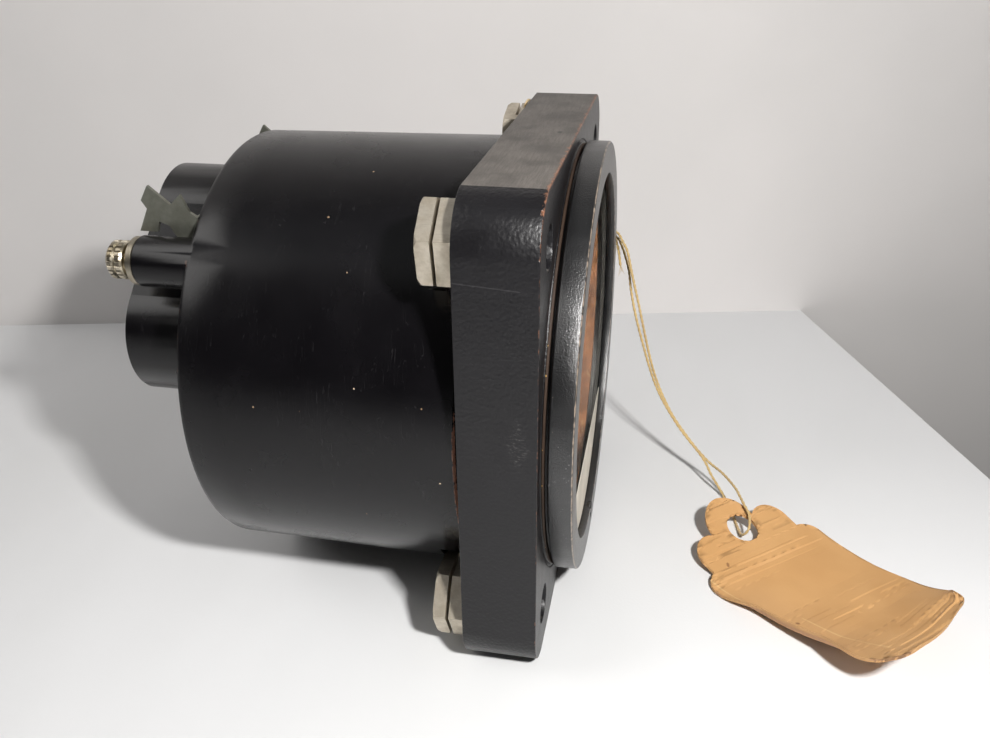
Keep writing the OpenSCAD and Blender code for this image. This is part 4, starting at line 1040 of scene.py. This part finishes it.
def makeDialScale():
    values = dialValues
    made = []
    sweep = values["lastAngle"] - values["firstAngle"]
    for turned in range(0, sweep + 1, values["tickStep"]):
        kind = "longTick" if turned % values["longTickStep"] == 0 else "tick"
        angle = values["firstAngle"] + turned
        made.append(makeTick(angle, values[kind + "Length"], values[kind + "Width"]))
    step = sweep / (len(values["numbers"]) - 1)
    for i, number in enumerate(values["numbers"]):
        made.append(makeNumber(number, math.radians(values["firstAngle"] + i * step)))
    deselectAll()
    for piece in made:
        piece.select_set(True)
    bpy.context.view_layer.objects.active = made[0]
    bpy.ops.object.join()
    scale = bpy.context.object
    scale.name = scale.data.name = "dialScale"
    scale.data.materials.clear()
    scale.data.materials.append(finishes["creamPaint"])
    settle(scale)
    return scale


dialScale = makeDialScale()
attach(dialScale, "case")
print("dial scale made")


# a thin pale sheet across the lowest part of the window, below a straight edge, in millimetres
paleSheetValues = {
    "front": -2.62, "back": -2.52, "radius": 24.3, "level": -15.0, "corners": 96,
    "colour": (0.66, 0.62, 0.54, 1), "second": (0.56, 0.53, 0.46, 1),
}


def makePaleSheetMaterial():
    look = paleSheetValues
    material, tree, shader, place = newMaterial("paleSheetFinish", Specular_IOR_Level=0.2)
    mottleHeight, mottleTone = grainOn(tree, place, fine=1.6, coarse=0.2)
    colour = mixColour(tree, between(tree, mottleTone, 0.35, 0.7), look["colour"], look["second"])
    roughness = plus(tree, times(tree, mottleTone, 0.2), 0.6)
    finishLook(tree, shader, colour, roughness, mottleHeight)
    return material


def makeWindowPaleSheet():
    values = paleSheetValues
    deselectAll()
    bpy.ops.mesh.primitive_cylinder_add(vertices=values["corners"], radius=values["radius"] * mm,
        depth=(values["back"] - values["front"]) * mm, rotation=(math.radians(90), 0, 0),
        location=(0, (values["front"] + values["back"]) / 2 * mm, 0))
    paleSheet = bpy.context.object
    paleSheet.name = paleSheet.data.name = "windowPaleSheet"
    settle(paleSheet)
    editAll(paleSheet)
    cutThrough((0, 0, values["level"] * mm), (0, 0, 1), clear_outer=True, use_fill=True)
    faceOutwards(paleSheet)
    paleSheet.data.materials.append(makePaleSheetMaterial())
    return paleSheet


windowPaleSheet = makeWindowPaleSheet()
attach(windowPaleSheet, "case")
print("window film made")


# table and wall: places in millimetres, sizes in metres
stageValues = {
    "tableLevel": -30.15, "tableSize": 1.4, "edgeStart": (93.4, -43.0), "edgeAlong": (-0.942, -0.335),
    "wallPoint": (73.0, 47.7), "wallAlong": (-0.2165, 0.9763), "wallReach": 1.2,
    "wallTop": 420.0, "wallFoot": -500.0,
    "clothColour": (0.77, 0.775, 0.785, 1), "clothSecond": (0.72, 0.725, 0.73, 1),
    "wallColour": (0.80, 0.775, 0.765, 1), "wallSecond": (0.76, 0.74, 0.73, 1),
}


def inPlan(place):
    # a place or a direction seen from above
    return Vector((place[0], place[1], 0))


def makeTable():
    # the table ends along one edge, and the wall goes on below it
    values = stageValues
    size = values["tableSize"]
    level = Vector((0, 0, values["tableLevel"] * mm))
    edge = inPlan(values["edgeStart"]) * mm
    run = inPlan(values["edgeAlong"]) * size
    table = meshPiece("tableCloth", [edge + run + level, edge - run + level,
        inPlan((size, size)) + level, inPlan((-size, size)) + level], [(0, 1, 2, 3)])
    material, tree, shader, place = newMaterial("paleCloth", Specular_IOR_Level=0.15, Roughness=0.85)
    squeezed = stretched(tree, place, (0.008, 0.02, 0.01))
    folds = noiseOf(tree, squeezed, scale=1.0, detail=3.0)
    weave = noiseOf(tree, place, scale=3.5)
    colour = mixColour(tree, between(tree, folds, 0.3, 0.7), values["clothColour"],
        values["clothSecond"])
    height = plus(tree, times(tree, folds, 40.0), times(tree, weave, 0.25))
    finishLook(tree, shader, colour, height=height, depth=0.0001, strength=0.5)
    table.data.materials.append(material)
    return table


def makeWall():
    values = stageValues
    point = inPlan(values["wallPoint"]) * mm
    along = inPlan(values["wallAlong"])
    low, high = Vector((0, 0, values["wallFoot"] * mm)), Vector((0, 0, values["wallTop"] * mm))
    left, right = point + along * values["wallReach"], point - along * values["wallReach"]
    wall = meshPiece("backWall", [left + low, right + low, right + high, left + high], [(0, 1, 2, 3)])
    material, tree, shader, place = newMaterial("paleWall", Specular_IOR_Level=0.1, Roughness=0.9)
    patches = noiseOf(tree, place, scale=0.02, detail=3.0)
    finishLook(tree, shader, mixColour(tree, between(tree, patches, 0.3, 0.7), values["wallColour"],
        values["wallSecond"]))
    # from behind, the wall isn't there, so that every side of the gauge can be seen
    letThrough(tree, put(tree, "ShaderNodeNewGeometry").outputs["Backfacing"], shader.outputs[0])
    wall.data.materials.append(material)
    return wall


# lamps: place, power in watts, size in metres, colour
lampValues = {
    "flashLamp": ((-0.104, -0.060, 0.095), 0.36, 0.012, (1.0, 0.985, 0.965)),
    "ceilingLamp": ((-0.14, 0.12, 0.55), 0.12, 0.40, (0.93, 0.96, 1.0)),
    "fillLamp": ((-0.10, 0.32, 0.24), 0.42, 0.22, (1.0, 0.98, 0.96)),
}
lampsAimAt = (0, 0.01, -0.01)


def makeLamps():
    for name, (place, power, size, colour) in lampValues.items():
        data = bpy.data.lights.new(name, "AREA")
        data.energy = power
        data.size = size
        data.color = colour
        lamp = bpy.data.objects.new(name, data)
        lamp.location = place
        lamp.rotation_euler = (Vector(lampsAimAt) - Vector(place)).to_track_quat("-Z", "Y").to_euler()
        scene.collection.objects.link(lamp)


# the room's own light, from its lower to its upper half, and how bright it looks to the camera
worldValues = {
    "high": 0.05, "low": 0.03, "rise": (0.05, 0.75), "seen": 0.75, "tint": (1.0, 0.985, 0.96, 1),
}


def makeWorld():
    values = worldValues
    world = bpy.data.worlds.new("softRoom")
    world.use_nodes = True
    tree = world.node_tree
    background = tree.nodes["Background"]
    upward = axesOf(tree, put(tree, "ShaderNodeTexCoord").outputs["Generated"])[2]
    shine = between(tree, upward, *values["rise"])
    light = plus(tree, times(tree, shine, values["high"] - values["low"]), values["low"])
    seen = times(tree, put(tree, "ShaderNodeLightPath").outputs["Is Camera Ray"], values["seen"])
    background.inputs["Color"].default_value = values["tint"]
    tree.links.new(larger(tree, light, seen), background.inputs["Strength"])
    scene.world = world


table = makeTable()
wall = makeWall()
makeLamps()
makeWorld()
print("table, wall and light made")
